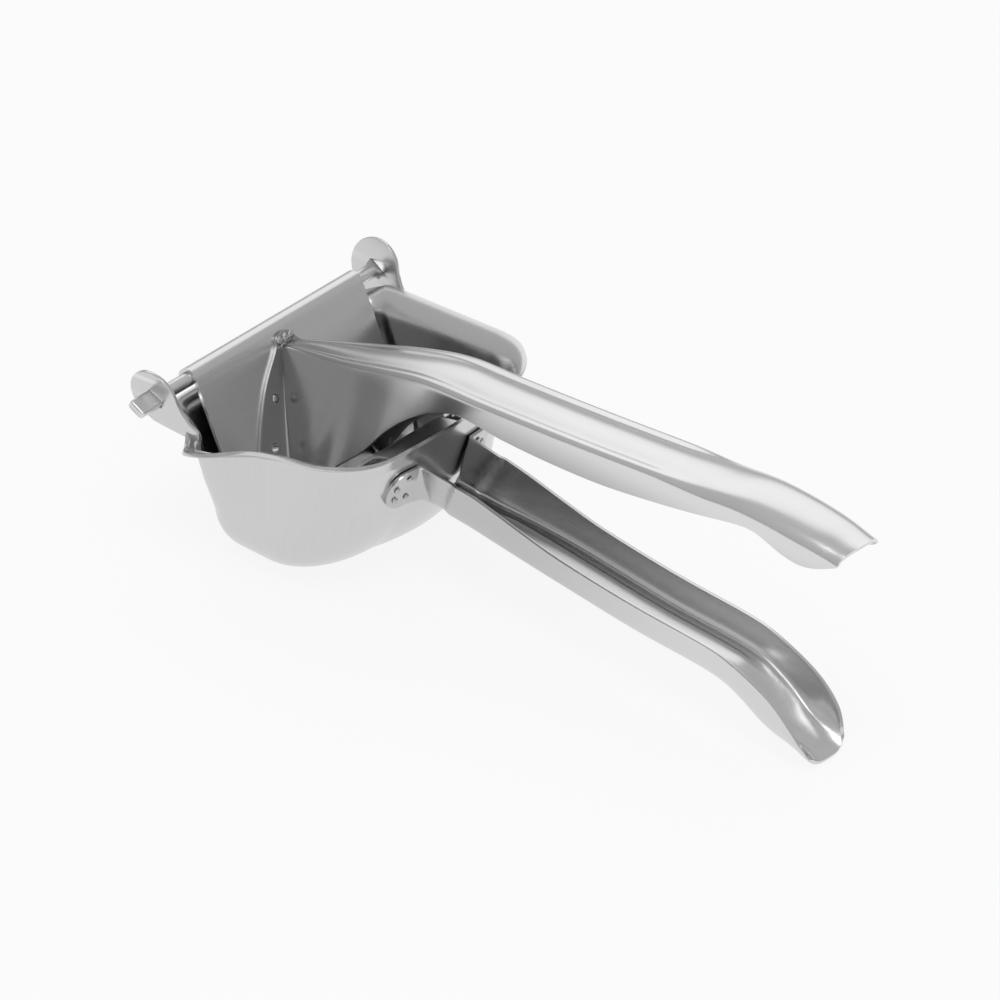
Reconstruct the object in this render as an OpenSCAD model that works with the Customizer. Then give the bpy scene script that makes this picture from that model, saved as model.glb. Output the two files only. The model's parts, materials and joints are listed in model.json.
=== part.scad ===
// Hand-held citrus press in pressed stainless sheet: a bowl with a loose
// perforated strainer, a plate that swings into it, and two trough handles.
// Working frame: the rod's axis is the origin and the bowl's rim is level.
// standing() then tilts the whole press so that it rests on its base at z = 0.

/* [Sheet and rod] */
// Thickness of the bowl, the handles and the press plate
sheet = 1; // [0.8:0.1:1.2]
// Thickness of the strainer sheet
strainer_sheet = 0.8; // [0.6:0.1:1]
// Diameter of the pivot rod
rod_d = 3.8; // [3.4:0.1:4.2]
// Radial running clearance of the press plate's roll on the rod
roll_clearance = 0.06; // [0.03:0.01:0.1]
// Length that each flattened rod end stands out past its ear
rod_overhang_near = 7.5; // [4:0.5:9]
// Overhang of the rod on the far side
rod_overhang_far = 3; // [2:0.5:6]

/* [Bowl] */
// Overall width of the bowl across its rim lips
bowl_w = 84.6; // [80:0.2:92]
// Distance from the rod's axis to the front corners of the bowl's wall
bowl_front = 56.2; // [55:0.2:59]
// Depth from the rod's axis to the middle of the base
bowl_depth = 44.4; // [44:0.1:47]
// Width of the lip that is flared outwards along the sides
lip_w = 5; // [3:0.5:6]
// Radius of the fillet between base and side walls
base_fillet = 12.5; // [11:0.5:13]
// Angle between the rim and the base
rim_tilt = 4.4; // [3:0.2:5.4]
// Radius of the ear lobes
ear_r = 7.5; // [6.5:0.5:8.5]
// How far the pouring spout reaches out past the lip
spout_reach = 6; // [4:0.5:7]
// How far the rim drops at the spout
spout_drop = 6; // [3:0.5:7]

/* [Press plate] */
// Width of the press plate
plate_w = 65; // [60:0.5:66]
// Space for juice between the strainer and the base
juice_gap = 3.3; // [2.5:0.1:5]
// Lean of the plate from the vertical
plate_lean = 25.5; // [24:0.5:27]
// Sideways place of the swinging arm on its rod
arm_shift = 1.75; // [-1:0.25:3]

/* [Strainer] */
// Running gap between the plate's edge and the strainer
strainer_gap = 0.8; // [0.6:0.1:1.2]
// Diameter of the juice holes
juice_hole_d = 2.6; // [2:0.2:3.2]
// Spacing of the juice holes
juice_hole_pitch = 5.4; // [4.6:0.2:7]
// Width of the lifting tab
tab_w = 25; // [16:1:30]

/* [Handles] */
// Half width of the upper handle
grip_half = 8.8; // [8:0.2:10]
// Height of the upper handle's rounded crown over its shoulders
crown_rise = 0.8; // [0.4:0.1:1.4]
// Half width of the lower handle
trough_half = 9.3; // [8.5:0.1:10.5]
// Half width of the lower handle where it meets the bowl
trough_root_half = 10.2; // [9.5:0.1:11]
// Sideways place of the lower handle's root on the bowl
root_shift = -1.5; // [-2:0.25:2]
// Height of the bead pressed into the lower handle's floor
bead_h = 1.2; // [0.6:0.1:1.6]
// Diameter of the holes in the upper handle's flanges
flange_hole_d = 2.4; // [2:0.1:3]

/* [Hidden] */
$fn = 48;

eps = 0.01;
seat_gap = 0.05;
steel = [0.74, 0.75, 0.76];
steel_dark = [0.62, 0.63, 0.65];
steel_weld = [0.5, 0.51, 0.53];

// The bowl's outer form, given at three heights: the edge of the flat base,
// the top of the base fillet, and the foot of the flared lip.
lip_foot_z = -9;
rim_z = -3.4;
base_mid_x = 29;
back_fillet = 9;
front_fillet = 27;
front_fillet_top = -17.6;
wall_half_low = bowl_w / 2 - lip_w - 0.8;
wall_half_high = bowl_w / 2 - lip_w;
back_low = 8.5;
back_high = 2.6;
front_high = bowl_front + 3;
corner_back = 5.5;
corner_back_low = 9.5;
corner_front = 23;
corner_front_high = 17.5;
end_bulge = 2.6;
end_bulge_high = 0.5;
end_flare = 0.5;
end_rim_dip = 2.4;
lip_angle = 80;
back_lip_share = 0.85;
back_rim_dip = 2.9;
spout_x = 13.5;

// Points along each stretch of the bowl's outline, from the back round the near side
n_back = 6;
n_back_corner = 6;
n_near = 16;
n_front_corner = 8;
n_front = 8;
n_far = 8;

// The ear lobes stand up from the lip and lean out a little
ear_centre = [-0.35, 0.55];
ear_foot_z = -6.3;
ear_lean = 10;
rod_tongue_w = 5;
rod_tongue_t = 2.2;
rod_tongue_turn = 30;
hole_clearance = 0.12;

rod_r = rod_d / 2;
roll_in = rod_r + roll_clearance;
roll_mid = roll_in + sheet / 2;
roll_out = roll_in + sheet;
roll_end = 205;
plate_corner = 5;

// The strainer's arc clears the base by juice_gap at its low end, the plate's edge
// sweeps inside the arc, and the presser is fitted to the plate's length.
arc_low = -63;
strainer_r = (bowl_depth - sheet - juice_gap) / -sin(arc_low) - strainer_sheet;
plate_tip_r = strainer_r - strainer_gap;
plate_len = sqrt(plate_tip_r ^ 2 - roll_out ^ 2);
plate_draft = 42.5;
reach = plate_len / plate_draft;

function lerp(a, b, t) = a + (b - a) * t;
function unit(v) = v / norm(v);
function smooth(t) = let (c = min(1, max(0, t))) c * c * (3 - 2 * c);

// Smooth curve through points [x, value] with rising x
function span_at(p, x, i = 0) = i >= len(p) - 2 || x < p[i + 1][0] ? i : span_at(p, x, i + 1);
function slope_at(p, i) =
    let (a = max(0, i - 1), b = min(len(p) - 1, i + 1))
    (p[b][1] - p[a][1]) / (p[b][0] - p[a][0]);
function curve(p, x) =
    let (q = min(max(x, p[0][0]), p[len(p) - 1][0]),
         i = span_at(p, q),
         h = p[i + 1][0] - p[i][0],
         t = (q - p[i][0]) / h,
         m0 = slope_at(p, i) * h,
         m1 = slope_at(p, i + 1) * h)
    (2 * t ^ 3 - 3 * t ^ 2 + 1) * p[i][1] + (t ^ 3 - 2 * t ^ 2 + t) * m0
    + (3 * t ^ 2 - 2 * t ^ 3) * p[i + 1][1] + (t ^ 3 - t ^ 2) * m1;

// Smooth path through points in space; s runs from 0 to len(p) - 1
function path(p, s) =
    let (n = len(p) - 1,
         i = min(n - 1, floor(s)),
         t = s - i,
         a = p[max(0, i - 1)], b = p[i], c = p[i + 1], d = p[min(n, i + 2)])
    0.5 * (2 * b + (c - a) * t + (2 * a - 5 * b + 4 * c - d) * t ^ 2
    + (3 * b - a - 3 * c + d) * t ^ 3);

// Sheets are grids of points, rows by columns, thickened along their normals.
// has(i, j) says whether the cell between rows i, i + 1 and columns j, j + 1 is there.
whole = function (i, j) true;
function cell(g, i, j, has) = i >= 0 && j >= 0 && i < len(g) - 1 && j < len(g[0]) - 1 && has(i, j);
function grid_normal(g, i, j, has) =
    let (up = cell(g, i, j, has) || cell(g, i, j - 1, has),
         down = cell(g, i - 1, j, has) || cell(g, i - 1, j - 1, has),
         right = cell(g, i, j, has) || cell(g, i - 1, j, has),
         left = cell(g, i, j - 1, has) || cell(g, i - 1, j - 1, has))
    !(up || down) || !(left || right) ? [0, 0, 0]
    : unit(cross((up ? g[i + 1][j] : g[i][j]) - (down ? g[i - 1][j] : g[i][j]),
                 (right ? g[i][j + 1] : g[i][j]) - (left ? g[i][j - 1] : g[i][j])));
function grid_shift(g, d, has = whole) =
    [for (i = [0:len(g) - 1]) [for (j = [0:len(g[0]) - 1]) g[i][j] + d * grid_normal(g, i, j, has)]];
function flat_list(g) = [for (row = g) for (p = row) p];

module sheet_solid(g, has = whole) {
    top = grid_shift(g, -sheet / 2, has);
    bottom = grid_shift(g, sheet / 2, has);
    n = len(g);
    m = len(g[0]);
    k = n * m;
    function t(i, j) = i * m + j;
    function b(i, j) = k + i * m + j;
    function quad(p, q, r, s) = [[p, q, r], [q, s, r]];
    function crossed(p, q, r, s) = [[p, q, s], [p, s, r]];
    cells = [for (i = [0:n - 2]) for (j = [0:m - 2]) if (cell(g, i, j, has)) [i, j]];
    faces = concat(
        [for (c = cells) let (i = c[0], j = c[1])
            for (f = j < m / 2 ? quad(t(i, j), t(i, j + 1), t(i + 1, j), t(i + 1, j + 1))
                               : crossed(t(i, j), t(i, j + 1), t(i + 1, j), t(i + 1, j + 1))) f],
        [for (c = cells) let (i = c[0], j = c[1])
            for (f = j < m / 2 ? quad(b(i + 1, j), b(i + 1, j + 1), b(i, j), b(i, j + 1))
                               : crossed(b(i + 1, j), b(i + 1, j + 1), b(i, j), b(i, j + 1))) f],
        [for (c = cells) let (i = c[0], j = c[1]) if (!cell(g, i - 1, j, has))
            for (f = quad(b(i, j), b(i, j + 1), t(i, j), t(i, j + 1))) f],
        [for (c = cells) let (i = c[0], j = c[1]) if (!cell(g, i + 1, j, has))
            for (f = quad(t(i + 1, j), t(i + 1, j + 1), b(i + 1, j), b(i + 1, j + 1))) f],
        [for (c = cells) let (i = c[0], j = c[1]) if (!cell(g, i, j - 1, has))
            for (f = quad(b(i, j), t(i, j), b(i + 1, j), t(i + 1, j))) f],
        [for (c = cells) let (i = c[0], j = c[1]) if (!cell(g, i, j + 1, has))
            for (f = quad(t(i, j + 1), b(i, j + 1), t(i + 1, j + 1), b(i + 1, j + 1))) f]);
    polyhedron(points = concat(flat_list(top), flat_list(bottom)), faces = faces, convexity = 8);
}

// A strip of even thickness about a polyline, as a flat outline
function strip_normal(p, i) =
    let (a = p[max(0, i - 1)], b = p[min(len(p) - 1, i + 1)], d = unit(b - a)) [-d[1], d[0]];
function strip(p, t) =
    concat([for (i = [0:len(p) - 1]) p[i] + strip_normal(p, i) * t / 2],
           [for (i = [len(p) - 1:-1:0]) p[i] - strip_normal(p, i) * t / 2]);

// Profile in the X-Z plane, drawn out along Y
module across(width) {
    rotate([90, 0, 0]) linear_extrude(height = width, center = true) children();
}

module standing() {
    rotate([0, -rim_tilt, 0]) translate([-base_mid_x, 0, bowl_depth]) children();
}

// Bowl
function base_z(x) = -bowl_depth - tan(rim_tilt) * (x - base_mid_x);
front_fillet_rise = front_fillet_top - base_z(bowl_front);

// Outline of one ring: back and front, half width, corner radii and bulge of the end wall
function ring_outline(xb, xf, w, rb, rf, bulge) =
    concat(
        [for (k = [0:n_back - 1]) let (y = lerp(w - rb, -(w - rb), (k + 0.5) / n_back)) [xb, y]],
        [for (k = [0:n_back_corner - 1]) let (a = 180 + 90 * (k + 0.5) / n_back_corner)
            [xb + rb + rb * cos(a), -(w - rb) + rb * sin(a)]],
        [for (k = [0:n_near - 1]) [lerp(xb + rb, xf - rf, (k / (n_near - 1)) ^ 1.4), -w]],
        [for (k = [0:n_front_corner - 1]) let (a = 270 + 90 * (k + 0.5) / n_front_corner)
            [xf - rf + rf * cos(a), -(w - rf) + rf * sin(a)]],
        [for (k = [0:n_front - 1]) let (s = lerp(-1, 1, k / (n_front - 1)), y = s * (w - rf))
            [xf + bulge * (1 - s * s), y]],
        [for (k = [0:n_front_corner - 1]) let (a = 90 * (k + 0.5) / n_front_corner)
            [xf - rf + rf * cos(a), (w - rf) + rf * sin(a)]],
        [for (k = [0:n_far - 1]) [lerp(xf - rf, xb + rb, k / (n_far - 1)), w]],
        [for (k = [0:n_back_corner - 1]) let (a = 90 + 90 * (k + 0.5) / n_back_corner)
            [xb + rb + rb * cos(a), (w - rb) + rb * sin(a)]]);

// Share of the lip's flare at each point of the outline: none on the end wall
fade_start = 0.15;
ring_flare = concat(
    [for (k = [1:n_back + n_back_corner + n_near]) 1],
    [for (k = [0:n_front_corner - 1]) 1 - smooth(((k + 0.5) / n_front_corner - fade_start) / (1 - fade_start))],
    [for (k = [1:n_front]) 0],
    [for (k = [0:n_front_corner - 1]) smooth(((k + 0.5) / n_front_corner) / (1 - fade_start))],
    [for (k = [1:n_far + n_back_corner]) 1]);

// Spout: the near wall reaches out and the rim drops, both steep beside the ear and
// long towards the handle
function hump(x, mid, back_len, front_len) =
    let (d = x - mid, len = d < 0 ? back_len : front_len)
    abs(d) >= len ? 0 : cos(90 * d / len) ^ 2;
function spout_fade(z) = smooth((z + 33) / 24);
function rim_height(p) = lerp(rim_z, rim_z - back_rim_dip, smooth((8 - p[0]) / 8));

function spouted(p, amount) =
    p[1] > 0 ? p
    : [p[0], p[1] - spout_reach * amount * hump(p[0], spout_x, 5, 16.5),
       p[2] - spout_drop * amount * hump(p[0], spout_x - 2, 6, 33) * smooth((p[2] - lip_foot_z + 3) / 8)];

// The fillet rises higher at the end wall than along the sides
fillet_share = concat(
    [for (k = [1:n_back + n_back_corner + n_near]) 0],
    [for (k = [0:n_front_corner - 1]) smooth((k + 0.5) / n_front_corner)],
    [for (k = [1:n_front]) 1],
    [for (k = [0:n_front_corner - 1]) smooth(1 - (k + 0.5) / n_front_corner)],
    [for (k = [1:n_far + n_back_corner]) 0]);
function fillet_rise(j) = lerp(base_fillet, front_fillet_rise, fillet_share[j]);
function fillet_ring(a) =
    let (s = sin(a), c = cos(a),
         ring = ring_outline(back_low + back_fillet * (1 - s), bowl_front - front_fillet * (1 - s),
                             wall_half_low - base_fillet * (1 - s),
                             max(2, corner_back_low - back_fillet * (1 - s)),
                             corner_front - base_fillet * (1 - s), end_bulge * lerp(0.3, 1, s)))
    [for (j = [0:len(ring) - 1])
        let (p = ring[j], z = base_z(p[0]) + fillet_rise(j) * (1 - c)) spouted([p[0], p[1], z], spout_fade(z))];
function wall_point(j, p, q, t) =
    let (z = lerp(base_z(p[0]) + fillet_rise(j), lip_foot_z, t))
    spouted([lerp(p[0], q[0], t), lerp(p[1], q[1], t), z], spout_fade(z));
low_outline = ring_outline(back_low, bowl_front, wall_half_low, corner_back_low, corner_front, end_bulge);
high_outline = ring_outline(back_high, front_high, wall_half_high, corner_back, corner_front_high,
                            end_bulge_high);
function wall_ring(t) = [for (j = [0:len(low_outline) - 1]) wall_point(j, low_outline[j], high_outline[j], t)];

// The lip bends out of the wall along an arc of lip_angle
function outline_out(j) =
    let (m = len(high_outline), d = high_outline[(j + 1) % m] - high_outline[(j + m - 1) % m])
    unit([d[1], -d[0]]);
function lip_ring(t) =
    [for (j = [0:len(high_outline) - 1])
        let (p = high_outline[j], o = outline_out(j), a = lip_angle * t,
             share = ring_flare[j] * (p[0] < 8 ? lerp(1, back_lip_share, smooth((8 - p[0]) / 8)) : 1),
             out = lip_w * share * (1 - cos(a)) / (1 - cos(lip_angle)),
             rim = rim_height(p) - end_rim_dip * (1 - ring_flare[j]),
             rise = (rim - lip_foot_z) * sin(a) / sin(lip_angle))
        spouted([p[0] + o[0] * (out + end_flare * t * (1 - ring_flare[j])), p[1] + o[1] * out, lip_foot_z + rise],
                spout_fade(lip_foot_z + rise))];

fillet_steps = 6;
wall_steps = 3;
lip_steps = 6;
bowl_outer = concat(
    [for (k = [0:fillet_steps]) fillet_ring(lerp(0, 90, k / fillet_steps))],
    [for (k = [1:wall_steps]) wall_ring(k / wall_steps)],
    [for (k = [1:lip_steps]) lip_ring(k / lip_steps)]);

module bowl_shell() {
    up = [sin(rim_tilt), 0, cos(rim_tilt)];
    n = len(bowl_outer);
    m = len(bowl_outer[0]);
    function normal(i, j) =
        unit(cross(bowl_outer[min(i + 1, n - 1)][j] - bowl_outer[i - 1][j],
                   bowl_outer[i][(j + 1) % m] - bowl_outer[i][(j + m - 1) % m]));
    inner = concat([[for (p = bowl_outer[0]) p + sheet * up]],
                   [for (i = [1:n - 1]) [for (j = [0:m - 1]) bowl_outer[i][j] + sheet * normal(i, j)]]);
    k = n * m;
    function o(i, j) = i * m + j % m;
    function v(i, j) = k + i * m + j % m;
    faces = concat(
        [[for (j = [0:m - 1]) o(0, j)]],
        [[for (j = [m - 1:-1:0]) v(0, j)]],
        [for (i = [0:n - 2]) for (j = [0:m - 1])
            for (f = [[o(i, j), o(i + 1, j), o(i, j + 1)], [o(i, j + 1), o(i + 1, j), o(i + 1, j + 1)]]) f],
        [for (i = [0:n - 2]) for (j = [0:m - 1])
            for (f = [[v(i, j), v(i, j + 1), v(i + 1, j)], [v(i, j + 1), v(i + 1, j + 1), v(i + 1, j)]]) f],
        [for (j = [0:m - 1])
            for (f = [[o(n - 1, j), v(n - 1, j), o(n - 1, j + 1)],
                      [o(n - 1, j + 1), v(n - 1, j), v(n - 1, j + 1)]]) f]);
    polyhedron(points = concat(flat_list(bowl_outer), flat_list(inner)), faces = faces, convexity = 8);
}

// Flattened rod end, also the hole for it when grown by the clearance
module tongue_shape(grow) {
    rotate(-rod_tongue_turn)
        square([rod_tongue_w + 2 * grow, rod_tongue_t + 2 * grow], center = true);
}

ear_neck = [[6.9, 2.6], [8.2, -1.2], [10.4, -4.4], [13, -5.4], [13, -8.4], [6.6, -8.4],
            [6.6, ear_foot_z], [-2.4, ear_foot_z], [-7.1, -2.2]];
ear_root_y = bowl_w / 2 - sheet / 2;

module ear(side) {
    translate([0, side * ear_root_y, ear_foot_z])
        rotate([-side * ear_lean, 0, 0])
            translate([0, 0, -ear_foot_z])
                difference() {
                    across(sheet) {
                        translate(ear_centre) circle(r = ear_r);
                        polygon(concat(ear_neck, [ear_centre]));
                    }
                    across(4 * sheet) tongue_shape(hole_clearance);
                }
}

module bowl() {
    color(steel) standing() union() {
        bowl_shell();
        for (side = [-1, 1]) ear(side);
    }
}

// Rod: round between the ears, flattened and turned where it passes through them
ear_mid_y = ear_root_y - ear_foot_z * tan(ear_lean);
rod_shoulder_y = ear_mid_y - sheet * 1.6;

module pivot_rod() {
    color(steel_dark) standing() union() {
        rotate([90, 0, 0]) cylinder(h = 2 * rod_shoulder_y, r = rod_r, center = true);
        translate([0, -(ear_mid_y + sheet / 2 + rod_overhang_near), 0])
            rotate([-90, 0, 0]) rotate(0)
                linear_extrude(height = rod_overhang_near + 2 * sheet + 1) mirror([0, 1]) tongue_shape(0);
        translate([0, ear_mid_y + sheet / 2 + rod_overhang_far, 0])
            rotate([90, 0, 0])
                linear_extrude(height = rod_overhang_far + 2 * sheet + 1) tongue_shape(0);
    }
}

// Strainer: an arc that the plate's edge sweeps past, a flat tail to the back
// wall and a lifting tab that reaches the end wall
arc_high = -24.5;
strainer_mid_r = strainer_r + strainer_sheet / 2;
arc_foot = strainer_mid_r * [cos(arc_low), sin(arc_low)];
arc_head = strainer_mid_r * [cos(arc_high), sin(arc_high)];
tail_end = [back_low + 3, arc_foot[1] + 3];
tab_rise = [[4.4, 4.9], [7.9, 5.7], [13, 6.5]];
tab_end_z = arc_head[1] + 6.9;
seat_clear = 0.3;
function tab_end(y) = [end_wall(y, tab_end_z) - sheet - seat_clear, y];
arc_steps = 14;
strainer_line = concat(
    [tail_end],
    [for (k = [0:arc_steps]) let (a = lerp(arc_low, arc_high, k / arc_steps))
        strainer_mid_r * [cos(a), sin(a)]],
    [for (p = tab_rise) arc_head + p], [[bowl_front + 2 * end_bulge, tab_end_z]]);
strainer_half_tail = wall_half_high - 11.3;
strainer_half_back = wall_half_high - 6.3;
strainer_half_middle = wall_half_high - 5.1;
strainer_half_rising = wall_half_high - 3.1;
strainer_half_front = wall_half_high - 2.3;

// Half of the strainer's outline seen from above, from the tail to the tab
strainer_side = [
    [tail_end[0] - 0.5, strainer_half_tail], [tail_end[0] + 5, strainer_half_back],
    [arc_foot[0] + 2, strainer_half_middle], [(arc_foot[0] + arc_head[0]) / 2 + 2, strainer_half_rising],
    [arc_head[0] - 1, strainer_half_front], [arc_head[0] + 0.6, strainer_half_front - 2],
    [arc_head[0] + 0.6, tab_w / 2]];

module strainer_plan() {
    polygon(concat([for (p = strainer_side) [p[0], -p[1]]],
                   [for (k = [-4:4]) tab_end(k * tab_w / 8)],
                   [for (i = [len(strainer_side) - 1:-1:0]) strainer_side[i]]));
}

hole_rows = 6;
hole_row_angle = juice_hole_pitch / strainer_r * 180 / PI;
hole_columns = floor(2 * (strainer_half_back - 4) / juice_hole_pitch);

module juice_holes() {
    for (row = [0:hole_rows - 1])
        for (k = [0:hole_columns - 1]) {
            y = (k - (hole_columns - 1) / 2) * juice_hole_pitch + (row % 2 - 0.5) * juice_hole_pitch / 2;
            rotate([0, -(arc_low + 2.2 + row * hole_row_angle), 0])
                translate([strainer_r - 2, y, 0])
                    rotate([0, 90, 0]) cylinder(h = 4 + strainer_sheet, d = juice_hole_d, $fn = 24);
        }
}

module strainer() {
    color(steel_dark) standing() difference() {
        intersection() {
            across(bowl_w) polygon(strip(strainer_line, strainer_sheet));
            translate([0, 0, -bowl_depth]) linear_extrude(height = bowl_depth) strainer_plan();
        }
        juice_holes();
    }
}

// Places on the press plate: u runs down it from the roll, off lifts off its middle
plate_down = [sin(plate_lean), -cos(plate_lean)];
plate_out = [cos(plate_lean), sin(plate_lean)];
function plate_point(u, y, off) =
    let (q = plate_out * (roll_mid + off) + plate_down * u) [q[0], y, q[1]];

// Turns a flat shape drawn as [y, -u] into the plate's own plane
module on_plate(off) {
    multmatrix([[0, -plate_down[0], plate_out[0], plate_out[0] * (roll_mid + off)],
                [1, 0, 0, 0],
                [0, -plate_down[1], plate_out[1], plate_out[1] * (roll_mid + off)],
                [0, 0, 0, 1]]) children();
}

// The plate and its roll in one section, the plate running down from the roll
roll_steps = 24;
function roll_arc(r, from, to) =
    [for (k = [0:roll_steps]) let (a = lerp(from, to, k / roll_steps)) r * [cos(a), sin(a)]];
plate_profile = concat(roll_arc(roll_out, plate_lean, roll_end), roll_arc(roll_in, roll_end, plate_lean),
                       [plate_out * roll_in + plate_down * plate_len, plate_out * roll_out + plate_down * plate_len]);

module press_plate() {
    color(steel) standing() translate([0, arm_shift, 0]) difference() {
        across(plate_w) polygon(plate_profile);
        for (side = [-1, 1])
            on_plate(-sheet) translate([side * (plate_w / 2 - plate_corner), plate_corner - plate_len])
                linear_extrude(height = 2 * sheet) difference() {
                    translate([side * plate_corner, -plate_corner]) square(2 * plate_corner, center = true);
                    circle(r = plate_corner);
                }
    }
}

// Upper handle: heights of its shoulders and of its lower edge, and its half width, along X
shoulder_line = [[4.5, -2.6], [8, -1.2], [14, 0.4], [30, 4], [42, 7], [54, 9.5], [62, 10.2], [73, 10],
                 [106, 10.4], [147, 11.7], [158, 12.3], [168, 11.6], [178, 10.1], [184.4, 8.9], [190.5, 7.1]];
grip_width = [[4.5, 0.18], [14, 0.42], [30, 0.74], [42, 0.86], [54, 0.94], [66, 1], [176, 1], [190, 0.86]];
lower_edge = [[68.9, 4.5], [74, 4.2], [80, 3.1], [92, 2.2], [104, 1.8], [116, 1.9], [128, 2.8], [144, 4.5],
              [158, 6.5], [163.5, 6.9], [166.5, 6.3], [169, 5], [174.4, 2.9], [180, 2], [184, 2.6], [188, 4.1]];
grip_start = 68.9;
grip_end = 190.5;
end_round = 1.2;
bend_half = [[4.9, 1.8], [17.7, 7.4], [29.3, 12.2], [41, 16.5]];

// Arch under the presser: x, half width, z from the plate's foot to the handle
arch_points = [[21.6, 16.4, -36], [27, 16.3, -28], [32.9, 16, -20.5], [41.7, 14.5, -13.9], [46.3, 13, -8.1],
               [49.7, 12, -4.7], [53.6, 11, -1.3], [58.9, 9.6, 1.8], [63.8, 9, 3.6], [68.9, 8.8, 4.5]];

// Cross-section of the crown from the shoulder's outside to the middle: share of the
// half width, and height over the shoulder as a share of the crown's rise
crown_shares = [[1, -1.1], [0.95, -0.25], [0.83, 0], [0.68, -0.6], [0.5, 0.2], [0.25, 0.9], [0, 1.05]];

function crown_row(x, squash) =
    let (w = grip_half * curve(grip_width, x), z = curve(shoulder_line, x))
    [for (c = crown_shares) [x, w * c[0], z + c[1] * squash * crown_rise]];

wall_columns = 5;
function wall_row(foot, top, belly) =
    [for (k = [0:wall_columns - 1]) let (t = k / wall_columns)
        lerp(foot, top, t) + [0, belly * sin(180 * t), 0]];
function full_row(half) =
    concat([for (p = half) [p[0], -p[1], p[2]]],
           [for (i = [len(half) - 2:-1:0]) half[i]]);

// The presser's flanges lie on the plate. Their rows run down the plate, with the
// flange's edge at flange_edge and the bend into the side wall at bend_half.
flange_edge = [[4.6, 4.4], [8.8, 9.9], [14.4, 14.6], [26, 22.2], [39, 27]];
flange_columns = 3;
flange_mid = sheet + eps;
function flange_row(u, foot) =
    [for (k = [0:flange_columns - 1])
        lerp(plate_point(u, curve(flange_edge, u / reach), flange_mid), foot, k / flange_columns)];
function no_flange(foot) = [for (k = [1:flange_columns]) foot];

// Rows whose foot is on the plate: distance down the plate, and place of the crown
plate_rows = [[7, 5.6], [10.5, 7.2], [15, 9], [20.5, 11.6], [26, 14.6], [31.5, 18], [36.5, 21.5], [40.5, 25]];
function plate_row(r) =
    let (u = r[0] * reach,
         foot = plate_point(u, curve(bend_half, r[0]), flange_mid),
         crown = crown_row(r[1], smooth((r[1] - 3) / 12)))
    full_row(concat(flange_row(u, foot), wall_row(foot, crown[0], 0), crown));

// The tongue above the presser, and the presser's top edge, both flat on the plate
tongue_r = 3.3;
half_count = flange_columns + wall_columns + len(crown_shares);
tongue_row = full_row([for (k = [0:half_count - 1])
    let (a = 90 * (1 - k / (half_count - 1)))
    plate_point(2.9 - 2.4 * cos(a), tongue_r * sin(a), flange_mid)]);
apex_row = full_row([for (k = [0:half_count - 1])
    let (t = k / (half_count - 1), c = t < 0.36 ? [lerp(4.6, 2, t / 0.36), lerp(4.6, 5.6, t / 0.36)]
                                               : [2 * cos(90 * (t - 0.36) / 0.64), 5.6 - 2.2 * sin(90 * (t - 0.36) / 0.64)])
    plate_point(c[1], c[0], flange_mid)]);

arch_steps = 12;
arch_crown_start = 28;
function arch_foot(s) =
    let (p = path(arch_points, s), low = 1 + (reach - 1) * smooth(1 - s / 5)) [p[0] * low, p[1], p[2] * low];
function arch_row(s) =
    let (foot = arch_foot(s),
         x = lerp(arch_crown_start, grip_start, (s - 0.5) / (len(arch_points) - 1.5)),
         crown = crown_row(lerp(x, foot[0], smooth((s - 4) / 5)), 1))
    full_row(concat(no_flange(foot), wall_row(foot, crown[0], -0.8 * smooth((5 - s) / 4)), crown));

grip_steps = 24;
function grip_row(x) =
    let (crown = crown_row(x, 1), w = crown[0][1], foot = [x, w, curve(lower_edge, x)])
    full_row(concat(no_flange(foot), wall_row(foot, crown[0], 0), crown));
function end_row() =
    let (row = crown_row(grip_end, 1),
         crown = [for (k = [0:len(row) - 1]) row[k] + [end_round * (1 - crown_shares[k][0] ^ 2), 0, 0]],
         foot = [grip_end - 1.3, row[0][1], row[0][2] - 0.9])
    full_row(concat(no_flange(foot), wall_row(foot, crown[0], 0), crown));

upper_grid = concat(
    [tongue_row, apex_row],
    [for (r = plate_rows) plate_row(r)],
    [for (k = [1:arch_steps]) arch_row(lerp(0, len(arch_points) - 1, k / arch_steps))],
    [for (k = [1:grip_steps]) grip_row(lerp(grip_start, grip_end - 2.5, k / grip_steps))],
    [end_row()]);
flange_rows = 1 + len(plate_rows);
has_flange = function (i, j)
    i < flange_rows || (j >= flange_columns && j < len(upper_grid[0]) - 1 - flange_columns);

flange_holes = [[10.1, 14.6], [15.9, 25.4]];

module upper_handle() {
    color(steel) standing() translate([0, arm_shift, 0]) difference() {
        sheet_solid(upper_grid, has_flange);
        for (side = [-1, 1]) for (h = flange_holes)
            on_plate(sheet / 2 - eps) translate([side * h[0], -h[1] * reach])
                cylinder(h = 2 * sheet, d = flange_hole_d, $fn = 24);
    }
}

// Weld nuggets that fix the presser to the plate: in the upper flange holes,
// along the foot of the tongue and at the lower ends of the flanges
module nugget(r, h) {
    rotate_extrude($fn = 24)
        polygon([[0, 0], [r, 0], [r * 0.85, h * 0.5], [r * 0.45, h * 0.9], [0, h]]);
}

module plate_welds() {
    color(steel_weld) standing() translate([0, arm_shift, 0]) {
        for (side = [-1, 1])
            on_plate(sheet / 2 + eps) translate([side * flange_holes[0][0], -flange_holes[0][1] * reach])
                nugget(flange_hole_d / 2 - seat_gap, sheet + 0.3);
        for (y = [-2.1, 0, 2.1])
            on_plate(1.5 * sheet + seat_gap) translate([y, -2.4]) nugget(1, 0.5);
    }
}

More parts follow.
